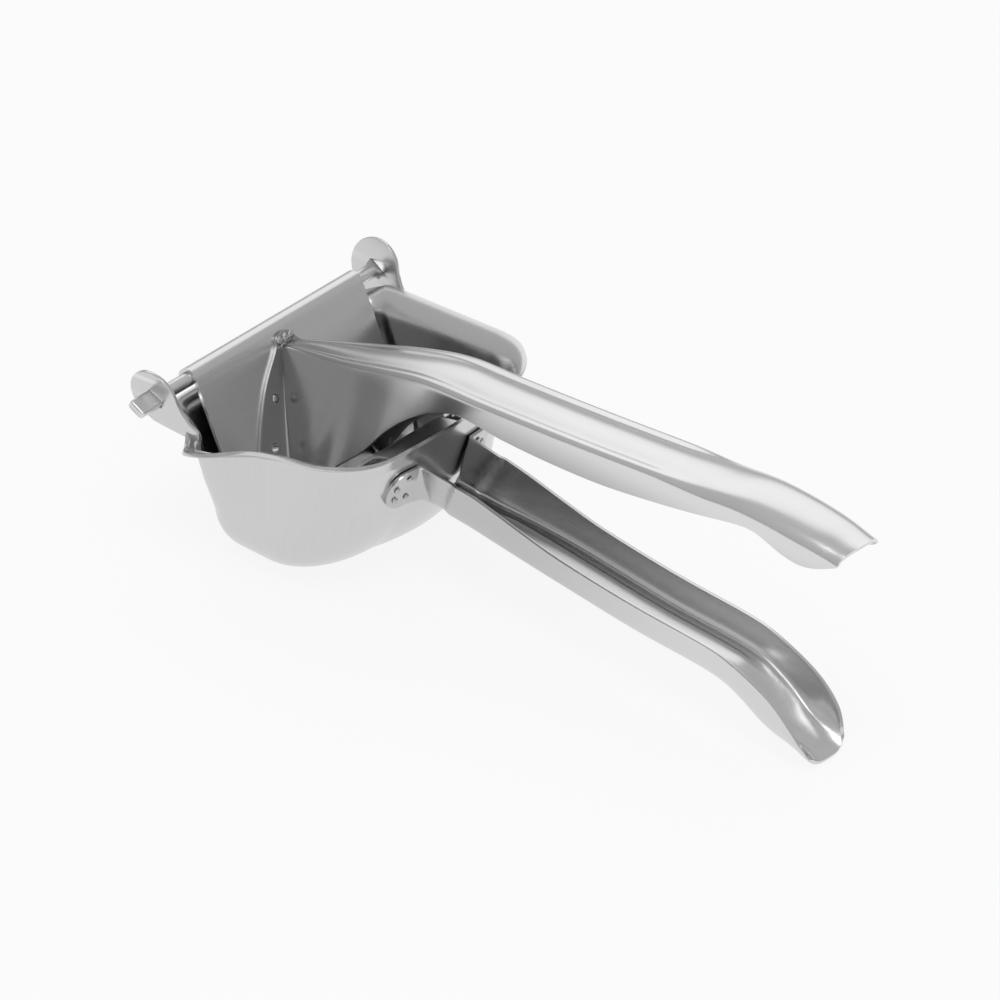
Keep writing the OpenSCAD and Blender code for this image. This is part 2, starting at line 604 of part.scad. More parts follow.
// Lower handle: its rim and its floor as paths in X and Z, and its half width
trough_rim = [[61.5, -12], [70, -13.6], [78, -15.5], [92, -20], [104, -23.4], [126, -27.4], [150, -30.4],
              [159, -32.8], [168, -36.9], [174, -40.9], [179, -46.4], [181.3, -51.4]];
trough_floor = [[60.5, -24.3], [70, -25.6], [78, -26.9], [92, -29.3], [107, -32.2], [127, -35.8], [147, -38.2],
                [156, -40.2], [163, -44], [170, -48.9], [177, -52.3], [183, -55.2]];
trough_share = [[0, 1], [9, 1], [10, 0.955], [11, 0.774]];
trough_steps = 36;

// Half of the section: share of the half width and of the depth, and how far the
// root's walls lean inwards
trough_section = [[1, 0], [0.98, 0.25], [0.95, 0.5], [0.91, 0.75], [0.86, 0.9], [0.77, 0.975], [0.64, 1], [0.5, 1]];
trough_lean = [0, 0.07, 0.13, 0.18, 0.2, 0.2, 0.17, 0.12];
bead_section = [[0.36, 0.45], [0.28, 1], [0, 1]];
trough_half_count = len(trough_section) + len(bead_section);

// The handle is pressed a little wider and deeper past a round-fronted step near its root
recess_depth = 0.6;
function recess_at(k, s) =
    let (front = 0.95 - 0.5 * sin(180 * k / (trough_half_count - 1)))
    recess_depth * (smooth((s - front) / 0.3) - 1);
function section_turn(k) = 90 * smooth((k - 2) / 4);

function trough_row(s) =
    let (rim = path(trough_rim, s), floor_p = path(trough_floor, s),
         w = lerp(trough_root_half, trough_half, smooth(s / 2)) * curve(trough_share, s),
         drop = [floor_p[0] - rim[0], 0, floor_p[1] - rim[1]],
         top = [rim[0], root_shift * (1 - smooth(s / 5)), rim[1]],
         up = -unit(drop),
         bead = bead_h * smooth((s - 1.4) / 0.8) * smooth((8.2 - s) / 2),
         slant = 1 - smooth(s / 3.5),
         half = concat(
             [for (k = [0:len(trough_section) - 1])
                 drop * trough_section[k][1] + [0, w * (trough_section[k][0] - slant * trough_lean[k]), 0]],
             [for (c = bead_section) drop + up * bead * c[1] + [0, w * c[0], 0]]),
         pressed = [for (k = [0:len(half) - 1]) let (a = section_turn(k))
             half[k] + recess_at(k, s) * ([0, k < len(half) - 1 ? cos(a) : 0, 0] - up * sin(a))])
    [for (p = full_row(pressed)) p + top];

// Tabs: the front of the side walls, turned out against the bowl's end wall
function end_wall(y, z) =
    let (foot_z = base_z(bowl_front) + front_fillet_rise,
         t = (z - foot_z) / (lip_foot_z - foot_z),
         xf = t > 0 ? lerp(bowl_front, front_high, t)
                    : bowl_front - front_fillet * (1 - sqrt(1 - ((foot_z - z) / front_fillet_rise) ^ 2)),
         w = lerp(wall_half_low, wall_half_high, max(0, t)),
         r = lerp(corner_front, corner_front_high, max(0, t)),
         bulge = lerp(end_bulge, end_bulge_high, max(0, t)),
         flat = w - r)
    abs(y) <= flat ? xf + bulge * (1 - (y / flat) ^ 2)
                   : xf - r + sqrt(r ^ 2 - (abs(y) - flat) ^ 2);
tab_out = 18.8;
tab_top = -11.8;
tab_foot = -22.6;
tab_steps = 6;
tab_columns = 4;
tab_lift = 0.3;
function against_bowl(y, z) = [end_wall(y, z) + tab_lift + sheet / 2, y, z];
function tab_row(k) =
    let (t = 1 - k / tab_steps, y = lerp(trough_root_half - recess_depth, tab_out, t),
         round_off = 3.4 * (1 - sqrt(1 - max(0, (t - 0.5) / 0.5) ^ 2 * 0.98)),
         flat = full_row([for (i = [0:trough_half_count - 1])
             [0, y, lerp(tab_top - round_off, tab_foot + round_off, min(1, i / tab_columns))]]))
    [for (p = flat) against_bowl(p[1] + root_shift, p[2])];
front_row = let (row = trough_row(0))
    [for (j = [0:len(row) - 1]) let (p = row[j], i = min(j, len(row) - 1 - j))
        against_bowl(p[1], i > tab_columns ? p[2] : lerp(tab_top, tab_foot, i / tab_columns))];
trough_grid = concat([for (k = [0:tab_steps - 1]) tab_row(k)], [front_row],
                     [for (k = [1:trough_steps]) trough_row(11 * (k / trough_steps) ^ 1.25)]);
has_tab = function (i, j)
    i >= tab_steps || j < tab_columns || j >= len(trough_grid[0]) - 1 - tab_columns;

module lower_handle() {
    color(steel) standing() sheet_solid(trough_grid, has_tab);
}

// Spot welds on the tabs, each square to the curved wall under it
tab_welds = [[12.8, -14], [16.2, -16.4], [12.6, -20], [16.4, -19.6]];
weld_lift = 0.25;
function wall_normal(y, z) =
    unit([1, end_wall(y - 0.5, z) - end_wall(y + 0.5, z), end_wall(y, z - 0.5) - end_wall(y, z + 0.5)]);

module handle_welds() {
    color(steel_weld) standing()
        for (side = [-1, 1]) for (p = tab_welds) {
            y = side * p[0] + root_shift;
            n = wall_normal(y, p[1]);
            translate(against_bowl(y, p[1]) + n * (sheet / 2 + weld_lift))
                rotate([0, acos(n[2]), atan2(n[1], n[0])]) nugget(1.3, 0.6);
        }
}

bowl();
lower_handle();
handle_welds();
pivot_rod();
strainer();
press_plate();
upper_handle();
plate_welds();
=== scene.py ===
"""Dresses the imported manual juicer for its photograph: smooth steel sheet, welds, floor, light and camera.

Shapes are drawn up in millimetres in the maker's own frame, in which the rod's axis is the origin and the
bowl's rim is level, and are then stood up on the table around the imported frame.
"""

from __future__ import annotations

import json
import logging
import math
from contextlib import contextmanager
from dataclasses import dataclass, field
from enum import Enum
from typing import Callable, Iterator, Sequence

import bmesh
import bpy
import numpy as np
from mathutils import Matrix, Vector

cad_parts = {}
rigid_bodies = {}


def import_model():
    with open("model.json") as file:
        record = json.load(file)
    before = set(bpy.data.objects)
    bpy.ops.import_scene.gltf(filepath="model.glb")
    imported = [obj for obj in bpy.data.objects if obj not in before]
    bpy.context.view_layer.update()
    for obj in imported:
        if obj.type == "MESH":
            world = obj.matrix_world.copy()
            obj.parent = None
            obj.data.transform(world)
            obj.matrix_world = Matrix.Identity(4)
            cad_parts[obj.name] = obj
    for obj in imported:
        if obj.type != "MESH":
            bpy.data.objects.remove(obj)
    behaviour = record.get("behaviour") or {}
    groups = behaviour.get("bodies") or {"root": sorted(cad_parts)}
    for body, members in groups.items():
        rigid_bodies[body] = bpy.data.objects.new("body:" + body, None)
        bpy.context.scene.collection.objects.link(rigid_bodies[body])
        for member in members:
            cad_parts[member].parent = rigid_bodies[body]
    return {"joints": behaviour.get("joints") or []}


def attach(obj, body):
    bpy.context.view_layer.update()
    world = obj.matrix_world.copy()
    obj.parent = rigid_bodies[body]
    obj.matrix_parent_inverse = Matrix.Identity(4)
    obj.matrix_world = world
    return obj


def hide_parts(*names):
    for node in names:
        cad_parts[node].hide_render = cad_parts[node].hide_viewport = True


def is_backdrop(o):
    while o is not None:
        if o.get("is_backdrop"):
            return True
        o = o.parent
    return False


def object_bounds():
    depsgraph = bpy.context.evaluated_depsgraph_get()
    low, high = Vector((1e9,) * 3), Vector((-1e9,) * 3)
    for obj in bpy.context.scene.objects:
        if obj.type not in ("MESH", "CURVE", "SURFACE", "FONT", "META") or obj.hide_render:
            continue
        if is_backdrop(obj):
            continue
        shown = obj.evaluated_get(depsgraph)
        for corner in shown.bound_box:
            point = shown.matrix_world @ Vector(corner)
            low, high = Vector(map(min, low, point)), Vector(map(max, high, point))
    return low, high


log = logging.getLogger("juicer")

MM = 0.001
SHARP_ANGLE = math.radians(50)
SAME_PLACE = 2e-6
NO_LENGTH = 1e-7
SWEEP_GAP = 0.8
Triple = tuple[float, float, float]
Points = Sequence[Sequence[float]]
Cell = Callable[[int, int], bool]
Inputs = dict[str | int, object]
WeldPlaces = list[tuple[np.ndarray, np.ndarray]]


class Body(Enum):
    """The rigid bodies of the frame."""

    BASE = "base"
    ARM = "arm"


class Slot(Enum):
    """The record's material slots."""

    STEEL = "steel"
    STEEL_DARK = "steel_dark"
    WELD = "weld"


# Curves


def lerp(a: float, b: float, t: float) -> float:
    """Straight blend from a to b."""
    return a + (b - a) * t


def smooth(t: float) -> float:
    """Smooth step from 0 to 1."""
    c = min(1.0, max(0.0, t))
    return c * c * (3 - 2 * c)


def unit(v: np.ndarray) -> np.ndarray:
    """Vector of length 1 along v."""
    return v / max(np.linalg.norm(v), 1e-12)


def turned(x: float, z: float, angle: float) -> tuple[float, float]:
    """X and Z turned by an angle in radians."""
    return x * math.cos(angle) - z * math.sin(angle), x * math.sin(angle) + z * math.cos(angle)


def curve(points: Points, x: float) -> float:
    """Smooth curve through points of rising x.

    Args:
        points: pairs of x and value.
        x: where the curve is read, held inside the points.

    Returns:
        The curve's value.
    """
    x = min(max(x, points[0][0]), points[-1][0])
    i = 0
    while i < len(points) - 2 and x >= points[i + 1][0]:
        i += 1

    def slope(k: int) -> float:
        """Slope at point k, from its neighbours."""
        a, b = points[max(0, k - 1)], points[min(len(points) - 1, k + 1)]
        return (b[1] - a[1]) / (b[0] - a[0])

    h = points[i + 1][0] - points[i][0]
    t = (x - points[i][0]) / h
    m0, m1 = slope(i) * h, slope(i + 1) * h
    return (
        (2 * t**3 - 3 * t**2 + 1) * points[i][1]
        + (t**3 - 2 * t**2 + t) * m0
        + (3 * t**2 - 2 * t**3) * points[i + 1][1]
        + (t**3 - t**2) * m1
    )


def path(points: Points, s: float) -> np.ndarray:
    """Smooth path through points in space.

    Args:
        points: the points that the path passes.
        s: place along the path, from 0 to one less than the number of points.

    Returns:
        The point at s.
    """
    p = np.array(points, float)
    n = len(p) - 1
    i = min(n - 1, int(s))
    t = s - i
    a, b, c, d = p[max(0, i - 1)], p[i], p[i + 1], p[min(n, i + 2)]
    return 0.5 * (2 * b + (c - a) * t + (2 * a - 5 * b + 4 * c - d) * t**2 + (3 * b - a - 3 * c + d) * t**3)


# The maker's frame and the row frame


@dataclass(frozen=True)
class Standing:
    """How the press stands on the table.

    Attributes:
        rod: the rod's axis in the row frame, in metres.
        tilt: angle between rim and base, in degrees.
    """

    rod: Triple
    tilt: float = 4.4

    def place(self, points: np.ndarray) -> np.ndarray:
        """Stands points up in the row frame.

        Args:
            points: in millimetres about the rod.

        Returns:
            The points in metres in the row frame.
        """
        a = math.radians(self.tilt)
        turn = np.array([[math.cos(a), 0, -math.sin(a)], [0, 1, 0], [math.sin(a), 0, math.cos(a)]])
        return np.asarray(points, float) @ turn.T * MM + np.array(self.rod)


# Meshes


def link(name: str, data: bpy.types.ID) -> bpy.types.Object:
    """Puts a new object in the scene, at the origin.

    Args:
        name: of the object.
        data: its mesh, curve, lamp or camera.

    Returns:
        The object.
    """
    made = bpy.data.objects.new(name, data)
    bpy.context.scene.collection.objects.link(made)
    return made


def mesh_piece(name: str, vertices: np.ndarray, faces: Sequence[Sequence[int]]) -> bpy.types.Object:
    """Makes a mesh object.

    Args:
        name: of the piece.
        vertices: in metres in the row frame.
        faces: vertex numbers round each face.

    Returns:
        The piece.
    """
    mesh = bpy.data.meshes.new(name)
    mesh.from_pydata([tuple(v) for v in vertices], [], [tuple(f) for f in faces])
    mesh.validate()
    return link(name, mesh)


@contextmanager
def editing(mesh: bpy.types.Mesh) -> Iterator[bmesh.types.BMesh]:
    """Opens a mesh for editing and writes it back afterwards.

    Args:
        mesh: that is edited.

    Yields:
        The open mesh.
    """
    work = bmesh.new()
    work.from_mesh(mesh)
    yield work
    work.to_mesh(mesh)
    work.free()


def soften(mesh: bpy.types.Mesh) -> None:
    """Shades a mesh smooth, with its sharp edges kept sharp."""
    mesh.shade_smooth()
    mesh.set_sharp_from_angle(angle=SHARP_ANGLE)


def settle(piece: bpy.types.Object) -> bpy.types.Object:
    """Turns the piece's live modifiers into its plain mesh.

    Args:
        piece: with its modifiers.

    Returns:
        The same piece without them.
    """
    bpy.context.view_layer.update()
    evaluated = piece.evaluated_get(bpy.context.evaluated_depsgraph_get())
    mesh = bpy.data.meshes.new_from_object(evaluated)
    piece.modifiers.clear()
    old = piece.data
    piece.data = mesh
    bpy.data.meshes.remove(old)
    mesh.name = piece.name
    soften(mesh)
    return piece


def merge_doubles(piece: bpy.types.Object, outward: bool = False) -> None:
    """Joins vertices that coincide.

    Args:
        piece: that is cleaned.
        outward: whether the faces of this closed piece are pointed outwards too.
    """
    with editing(piece.data) as work:
        bmesh.ops.remove_doubles(work, verts=work.verts, dist=SAME_PLACE)
        bmesh.ops.dissolve_degenerate(work, edges=work.edges, dist=NO_LENGTH)
        if outward:
            bmesh.ops.recalc_face_normals(work, faces=work.faces)


def join(name: str, pieces: Sequence[bpy.types.Object]) -> bpy.types.Object:
    """Makes one object from several plain meshes.

    Args:
        name: of the new piece.
        pieces: all at the origin; they are removed.

    Returns:
        The new piece.
    """
    mesh = bpy.data.meshes.new(name)
    with editing(mesh) as work:
        for piece in pieces:
            part = piece.data
            work.from_mesh(part)
            bpy.data.objects.remove(piece)
            bpy.data.meshes.remove(part)
    soften(mesh)
    return link(name, mesh)


def drill(piece: bpy.types.Object, holes: Sequence[np.ndarray], diameter: float, depth: float) -> None:
    """Cuts round holes through a piece.

    Args:
        piece: plain mesh in the row frame.
        holes: for each hole its middle and a point further along its axis, in metres.
        diameter: of the holes, in metres.
        depth: length of the cutter, in metres.
    """
    mesh = bpy.data.meshes.new("drill")
    with editing(mesh) as work:
        for middle, along in holes:
            turn = Vector(along - middle).to_track_quat("Z", "Y").to_matrix().to_4x4()
            bmesh.ops.create_cone(
                work, cap_ends=True, segments=32, radius1=diameter / 2, radius2=diameter / 2, depth=depth,
                matrix=Matrix.Translation(middle) @ turn,
            )
    cutter = link("drill", mesh)
    cut = piece.modifiers.new("holes", "BOOLEAN")
    cut.operation, cut.solver, cut.object = "DIFFERENCE", "EXACT", cutter
    settle(piece)
    bpy.data.objects.remove(cutter)
    bpy.data.meshes.remove(mesh)


def everywhere(i: int, j: int) -> bool:
    """Says that every cell of a grid is there."""
    return True


def grid_faces(rows: int, columns: int, closed: bool, has: Cell = everywhere) -> list[tuple[int, ...]]:
    """Faces between the points of a grid.

    Args:
        rows: number of rows.
        columns: number of points in a row.
        closed: whether each row is a ring.
        has: says whether the cell after row i and column j is there.

    Returns:
        Four point numbers for each cell.
    """
    last = columns if closed else columns - 1
    cells = [(i * columns, j, (j + 1) % columns) for i in range(rows - 1) for j in range(last) if has(i, j)]
    return [(row + j, row + columns + j, row + columns + k, row + k) for row, j, k in cells]


@dataclass
class Sheet:
    """A pressed sheet given by a grid of points on its middle surface.

    Attributes:
        name: name of the piece.
        grid: rows by columns by 3, in millimetres in the maker's frame.
        thickness: of the sheet, in millimetres.
        has: says whether the cell after row i and column j is there.
        closed: whether the columns close into a ring.
        crease: sharpness of the cut edge, from 0 to 1.
        levels: subdivision levels.
        offset: side on which the wall is: 0 for both, 1 or -1 for one side of the grid.
    """

    name: str
    grid: np.ndarray
    thickness: float
    has: Cell = everywhere
    closed: bool = False
    crease: float = 0.75
    levels: int = 2
    offset: float = 0.0

    def build(self, stand: Standing) -> bpy.types.Object:
        """Makes the sheet as a solid with rounded cut edges.

        Args:
            stand: places the grid in the row frame.

        Returns:
            The finished piece, a plain mesh.
        """
        rows, columns = self.grid.shape[:2]
        faces = grid_faces(rows, columns, self.closed, self.has)
        piece = mesh_piece(self.name, stand.place(self.grid.reshape(-1, 3)), faces)
        with editing(piece.data) as work:
            loose = [v for v in work.verts if not v.link_faces]
            bmesh.ops.delete(work, geom=loose, context="VERTS")
        merge_doubles(piece)
        solid = piece.modifiers.new("wall", "SOLIDIFY")
        solid.thickness, solid.offset = self.thickness * MM, self.offset
        solid.use_even_offset = solid.use_quality_normals = True
        solid.edge_crease_inner = solid.edge_crease_outer = self.crease
        finer = piece.modifiers.new("finer", "SUBSURF")
        finer.levels = finer.render_levels = self.levels
        return settle(piece)


def outline_plate(name: str, rings: Sequence[Points], thickness: float, bevel: float) -> bpy.types.Object:
    """Makes a flat plate with holes, drawn in X and Y in millimetres and centred on Z = 0.

    Args:
        name: of the piece.
        rings: the plate's outline, and then those of its holes.
        thickness: of the plate.
        bevel: radius of the broken edges.

    Returns:
        The plate in millimetres, as a plain mesh.
    """
    sketch = bpy.data.curves.new(name, "CURVE")
    sketch.dimensions, sketch.fill_mode = "2D", "BOTH"
    for ring in rings:
        spline = sketch.splines.new("POLY")
        spline.points.add(len(ring) - 1)
        for point, xy in zip(spline.points, ring):
            point.co = (*xy, 0, 1)
        spline.use_cyclic_u = True
    sketch.extrude = thickness / 2 - bevel
    sketch.bevel_depth, sketch.offset, sketch.bevel_resolution = bevel, -bevel, 2
    flat = link(name, sketch)
    bpy.context.view_layer.update()
    mesh = bpy.data.meshes.new_from_object(flat.evaluated_get(bpy.context.evaluated_depsgraph_get()))
    bpy.data.objects.remove(flat)
    bpy.data.curves.remove(sketch)
    touching = 1e-4
    with editing(mesh) as work:
        bmesh.ops.remove_doubles(work, verts=work.verts, dist=touching)
    return link(name, mesh)


# Node trees


def socket_kind(value: object) -> str:
    """Names the socket type that holds a value.

    Args:
        value: a number, a whole number, a vector, a colour, or None for geometry.

    Returns:
        The type's name.
    """
    if value is None:
        return "NodeSocketGeometry"
    if isinstance(value, tuple):
        return "NodeSocketVector" if len(value) == 3 else "NodeSocketColor"
    return "NodeSocketInt" if isinstance(value, int) else "NodeSocketFloat"


class Tree:
    """A node tree, with short ways to add nodes and to link them."""

    def __init__(self, tree: bpy.types.NodeTree) -> None:
        """Takes over a tree."""
        self.tree = tree

    def wire(self, source: object, target: bpy.types.NodeSocket) -> None:
        """Links two sockets, or sets a socket to a value.

        Args:
            source: another node's output, or a value.
            target: the input.
        """
        if isinstance(source, bpy.types.NodeSocket):
            self.tree.links.new(source, target)
        else:
            target.default_value = source

    def node(self, kind: str, inputs: Inputs | None = None, **settings: object) -> bpy.types.Node:
        """Adds a node.

        Args:
            kind: its type.
            inputs: source or value of its inputs, by name or number.
            settings: its properties.

        Returns:
            The node.
        """
        made = self.tree.nodes.new(kind)
        for key, value in settings.items():
            setattr(made, key, value)
        for key, value in (inputs or {}).items():
            self.wire(value, made.inputs[key])
        return made

    def out(self, kind: str, inputs: Inputs | None = None, **settings: object) -> bpy.types.NodeSocket:
        """Adds a node and gives its first output."""
        return self.node(kind, inputs, **settings).outputs[0]

    def maths(self, operation: str, *values: object, clamp: bool = False) -> bpy.types.NodeSocket:
        """Adds a math node.

        Args:
            operation: what it works out.
            values: numbers or sockets.
            clamp: whether the result is held between 0 and 1.

        Returns:
            The result.
        """
        return self.out("ShaderNodeMath", dict(enumerate(values)), operation=operation, use_clamp=clamp)

    def vector(self, *values: object) -> bpy.types.NodeSocket:
        """Combines X, Y and Z."""
        return self.out("ShaderNodeCombineXYZ", dict(enumerate(values)))

    def blend(self, share: object, first: object, second: object) -> bpy.types.NodeSocket:
        """Mixes two colours.

        Args:
            share: of the second one.
            first: colour at share 0.
            second: colour at share 1.

        Returns:
            The mixed colour.
        """
        made = self.node("ShaderNodeMix", data_type="RGBA")
        for name, value in (("Factor", share), ("A", first), ("B", second)):
            self.wire(value, made.inputs[name])
        return made.outputs["Result"]


class Group(Tree):
    """A node group with named inputs and outputs."""

    def __init__(self, name: str, kind: str, inputs: dict[str, object], outputs: dict[str, object]) -> None:
        """Makes the group with its sockets.

        Args:
            name: of the group.
            kind: type of tree.
            inputs: default value by name, None for geometry.
            outputs: a value of the right type by name, None for geometry.
        """
        super().__init__(bpy.data.node_groups.new(name, kind))
        self.identifiers: dict[str, str] = {}
        for label, value in inputs.items():
            socket = self.tree.interface.new_socket(label, in_out="INPUT", socket_type=socket_kind(value))
            self.identifiers[label] = socket.identifier
            if value is not None:
                socket.default_value = value
        for label, value in outputs.items():
            self.tree.interface.new_socket(label, in_out="OUTPUT", socket_type=socket_kind(value))
        self.entry = self.tree.nodes.new("NodeGroupInput").outputs
        self.leave = self.tree.nodes.new("NodeGroupOutput").inputs


class PieceTree(Group):
    """A Geometry Nodes tree with named sizes, run on a piece that is then made plain."""

    def __init__(self, name: str, sizes: dict[str, float]) -> None:
        """Starts the tree with an input for each size."""
        super().__init__(name, "GeometryNodeTree", {"Geometry": None, **sizes}, {"Geometry": None})

    def close(self, geometry: bpy.types.NodeSocket) -> None:
        """Ends the tree.

        Args:
            geometry: what was built.
        """
        real = self.out("GeometryNodeRealizeInstances", {0: geometry})
        self.finish = self.node("GeometryNodeSetMaterial", {"Geometry": real})
        self.wire(self.finish.outputs[0], self.leave["Geometry"])

    def run(
        self, piece: bpy.types.Object, sizes: dict[str, float], material: bpy.types.Material
    ) -> bpy.types.Object:
        """Runs the tree on a piece and keeps the result as its plain mesh.

        Args:
            piece: whose mesh goes in.
            sizes: by input name.
            material: that the tree sets.

        Returns:
            The same piece.
        """
        self.finish.inputs["Material"].default_value = material
        modifier = piece.modifiers.new(self.tree.name, "NODES")
        modifier.node_group = self.tree
        for name, value in sizes.items():
            modifier[self.identifiers[name]] = value
        return settle(piece)


# Finishes


def grain_group() -> Group:
    """Rolling grain of steel sheet: fine streaks along one axis, with broad clouds of polish.

    Returns:
        A group that gives a roughness, a height for bump and a mask of the streaks.
    """
    t = Group(
        "steel_grain", "ShaderNodeTree",
        {"Scale": 900.0, "Stretch": (0.05, 1.0, 1.0), "Roughness": 0.24, "Streak Depth": 0.06,
         "Cloud Depth": 0.05},
        {"Roughness": 0.0, "Height": 0.0, "Streaks": 0.0},
    )
    noise = "ShaderNodeTexNoise"
    place = t.node("ShaderNodeTexCoord").outputs["Object"]
    stretched = t.out("ShaderNodeVectorMath", {0: place, 1: t.entry["Stretch"]}, operation="MULTIPLY")
    streaks = t.out(noise, {"Vector": stretched, "Scale": t.entry["Scale"], "Detail": 4, "Roughness": 0.6})
    clouds = t.out(noise, {"Vector": place, "Scale": 45, "Detail": 2})
    centred = t.maths("SUBTRACT", streaks, 0.5)
    streaked = t.maths("MULTIPLY_ADD", centred, t.entry["Streak Depth"], t.entry["Roughness"])
    cloudy = t.maths("SUBTRACT", clouds, 0.5)
    t.wire(t.maths("MULTIPLY_ADD", cloudy, t.entry["Cloud Depth"], streaked), t.leave["Roughness"])
    t.wire(streaks, t.leave["Height"])
    t.wire(centred, t.leave["Streaks"])
    return t


def wear_group() -> Group:
    """Bright worn edges, read from the surface's pointiness, and the grain's tone.

    Returns:
        A group that mixes a base colour towards an edge colour.
    """
    flat_surface, sharpness = 0.53, 9.0
    t = Group(
        "edge_wear", "ShaderNodeTree",
        {"Color": (0.7, 0.7, 0.7, 1.0), "Edge Color": (0.9, 0.9, 0.9, 1.0), "Streaks": 0.0,
         "Streak Tone": 0.1, "Wear": 0.5},
        {"Color": (0.7, 0.7, 0.7, 1.0)},
    )
    edge = t.maths("SUBTRACT", t.node("ShaderNodeNewGeometry").outputs["Pointiness"], flat_surface)
    edge = t.maths("MULTIPLY", edge, sharpness, clamp=True)
    edge = t.maths("MULTIPLY", edge, t.entry["Wear"], clamp=True)
    mixed = t.blend(edge, t.entry["Color"], t.entry["Edge Color"])
    tone = t.maths("MULTIPLY_ADD", t.entry["Streaks"], t.entry["Streak Tone"], 1.0)
    t.wire(t.out("ShaderNodeVectorMath", {0: mixed, "Scale": tone}, operation="SCALE"), t.leave["Color"])
    return t


@dataclass(frozen=True)
class SteelFinish:
    """A finish of steel sheet.

    Attributes:
        name: of the material.
        color: of the metal.
        painted_shade: darker colour painted on as shade over one end of the piece, if it has one.
        fade: place in metres where the painted shade ends and the plain colour begins.
        fade_axis: axis that the fade follows.
        metallic: share of the metallic shader, lowered where a diffuse share with a lighter colour paints
            light onto a shaded part.
        edge: colour where edges are worn bright.
        roughness: mean roughness.
        streak: how much the grain varies the roughness.
        cloud: how much broad patches vary it.
        grain: streaks to a metre across the grain.
        stretch: factors along X, Y and Z; a small one runs the grain along that axis.
        bump: height of the grain, in metres.
        tone: how much the grain shades the colour.
        wear: how bright the worn edges are.
    """

    name: str
    color: Triple
    painted_shade: Triple | None = None
    fade: tuple[float, float] = (0.0, 1.0)
    fade_axis: str = "X"
    metallic: float = 1.0
    edge: Triple = (0.86, 0.86, 0.86)
    roughness: float = 0.24
    streak: float = 0.08
    cloud: float = 0.06
    grain: float = 1400.0
    stretch: Triple = (0.05, 1.0, 1.0)
    bump: float = 0.00001
    tone: float = 0.08
    wear: float = 0.6

    def faded(self, t: Tree) -> bpy.types.NodeSocket:
        """Fades from the darker colour painted on as shade to the plain one along the piece.

        Args:
            t: the material's tree.

        Returns:
            The colour.
        """
        place = t.node("ShaderNodeSeparateXYZ", {0: t.node("ShaderNodeTexCoord").outputs["Object"]})
        span = {"Value": place.outputs[self.fade_axis], "From Min": self.fade[0], "From Max": self.fade[1]}
        along = t.out("ShaderNodeMapRange", span, interpolation_type="SMOOTHSTEP")
        # Painted shade: before the fade's start the piece is painted in the darker colour, blending to the
        # plain one at its end.
        return t.blend(along, (*self.painted_shade, 1), (*self.color, 1))

    def material(self, grain: Group, wear: Group) -> bpy.types.Material:
        """Builds the material.

        Args:
            grain: the shared grain group.
            wear: the shared group of worn edges.

        Returns:
            The finished material.
        """
        made = bpy.data.materials.new(self.name)
        made.use_nodes = True
        t = Tree(made.node_tree)
        texture = t.node(
            "ShaderNodeGroup",
            {"Scale": self.grain, "Stretch": self.stretch, "Roughness": self.roughness,
             "Streak Depth": self.streak, "Cloud Depth": self.cloud},
            node_tree=grain.tree,
        ).outputs
        worn = t.node(
            "ShaderNodeGroup",
            {"Color": self.faded(t) if self.painted_shade else (*self.color, 1), "Edge Color": (*self.edge, 1),
             "Streaks": texture["Streaks"], "Streak Tone": self.tone, "Wear": self.wear},
            node_tree=wear.tree,
        ).outputs
        bump = t.node("ShaderNodeBump", {"Distance": self.bump, "Height": texture["Height"]}).outputs
        shader = t.tree.nodes["Principled BSDF"].inputs
        shader["Metallic"].default_value = self.metallic
        t.wire(worn["Color"], shader["Base Color"])
        t.wire(texture["Roughness"], shader["Roughness"])
        t.wire(bump["Normal"], shader["Normal"])
        return made


ALONG_Y, ALONG_Z = (1.0, 0.05, 1.0), (1.0, 1.0, 0.05)
# Painted shade: the upper handle is painted darker low down, below 47 mm, fading to its plain colour by 62
# mm.
HANDLE = SteelFinish(
    "handle_steel", (0.72, 0.72, 0.725), painted_shade=(0.36, 0.36, 0.365), fade=(0.047, 0.062), fade_axis="Z"
)
# Painted shade: the trough is painted darker towards its root at the bowl, fading to its plain colour from 50
# to 120 mm along X.
TROUGH = SteelFinish("trough_steel", (0.68, 0.68, 0.685), painted_shade=(0.52, 0.52, 0.525), fade=(0.05, 0.12))
DRAWN = SteelFinish("drawn_steel", (0.63, 0.63, 0.635), stretch=ALONG_Z)
ROLLED = SteelFinish("rolled_steel", (0.66, 0.66, 0.665), stretch=ALONG_Y)
ROD = SteelFinish("rod_steel", (0.68, 0.68, 0.685), roughness=0.3, stretch=ALONG_Y)
# Painted light: the strainer's steel is painted much lighter than the other steel and given a diffuse share,
# so that its shaded tab reads bright.
PAINTED_LIGHT_STRAINER = SteelFinish("painted_light_strainer_steel", (0.86, 0.86, 0.86), metallic=0.85, roughness=0.38, stretch=ALONG_Y)
WELD = SteelFinish("weld_steel", (0.5, 0.5, 0.51), roughness=0.38, grain=600.0, stretch=(1.0, 1.0, 1.0))
TAB_NUGGET = {"Radius": 0.8 * MM, "Height": 0.32 * MM}
ARM_NUGGET = {"Radius": 1.05 * MM, "Height": 0.62 * MM}


# The bowl


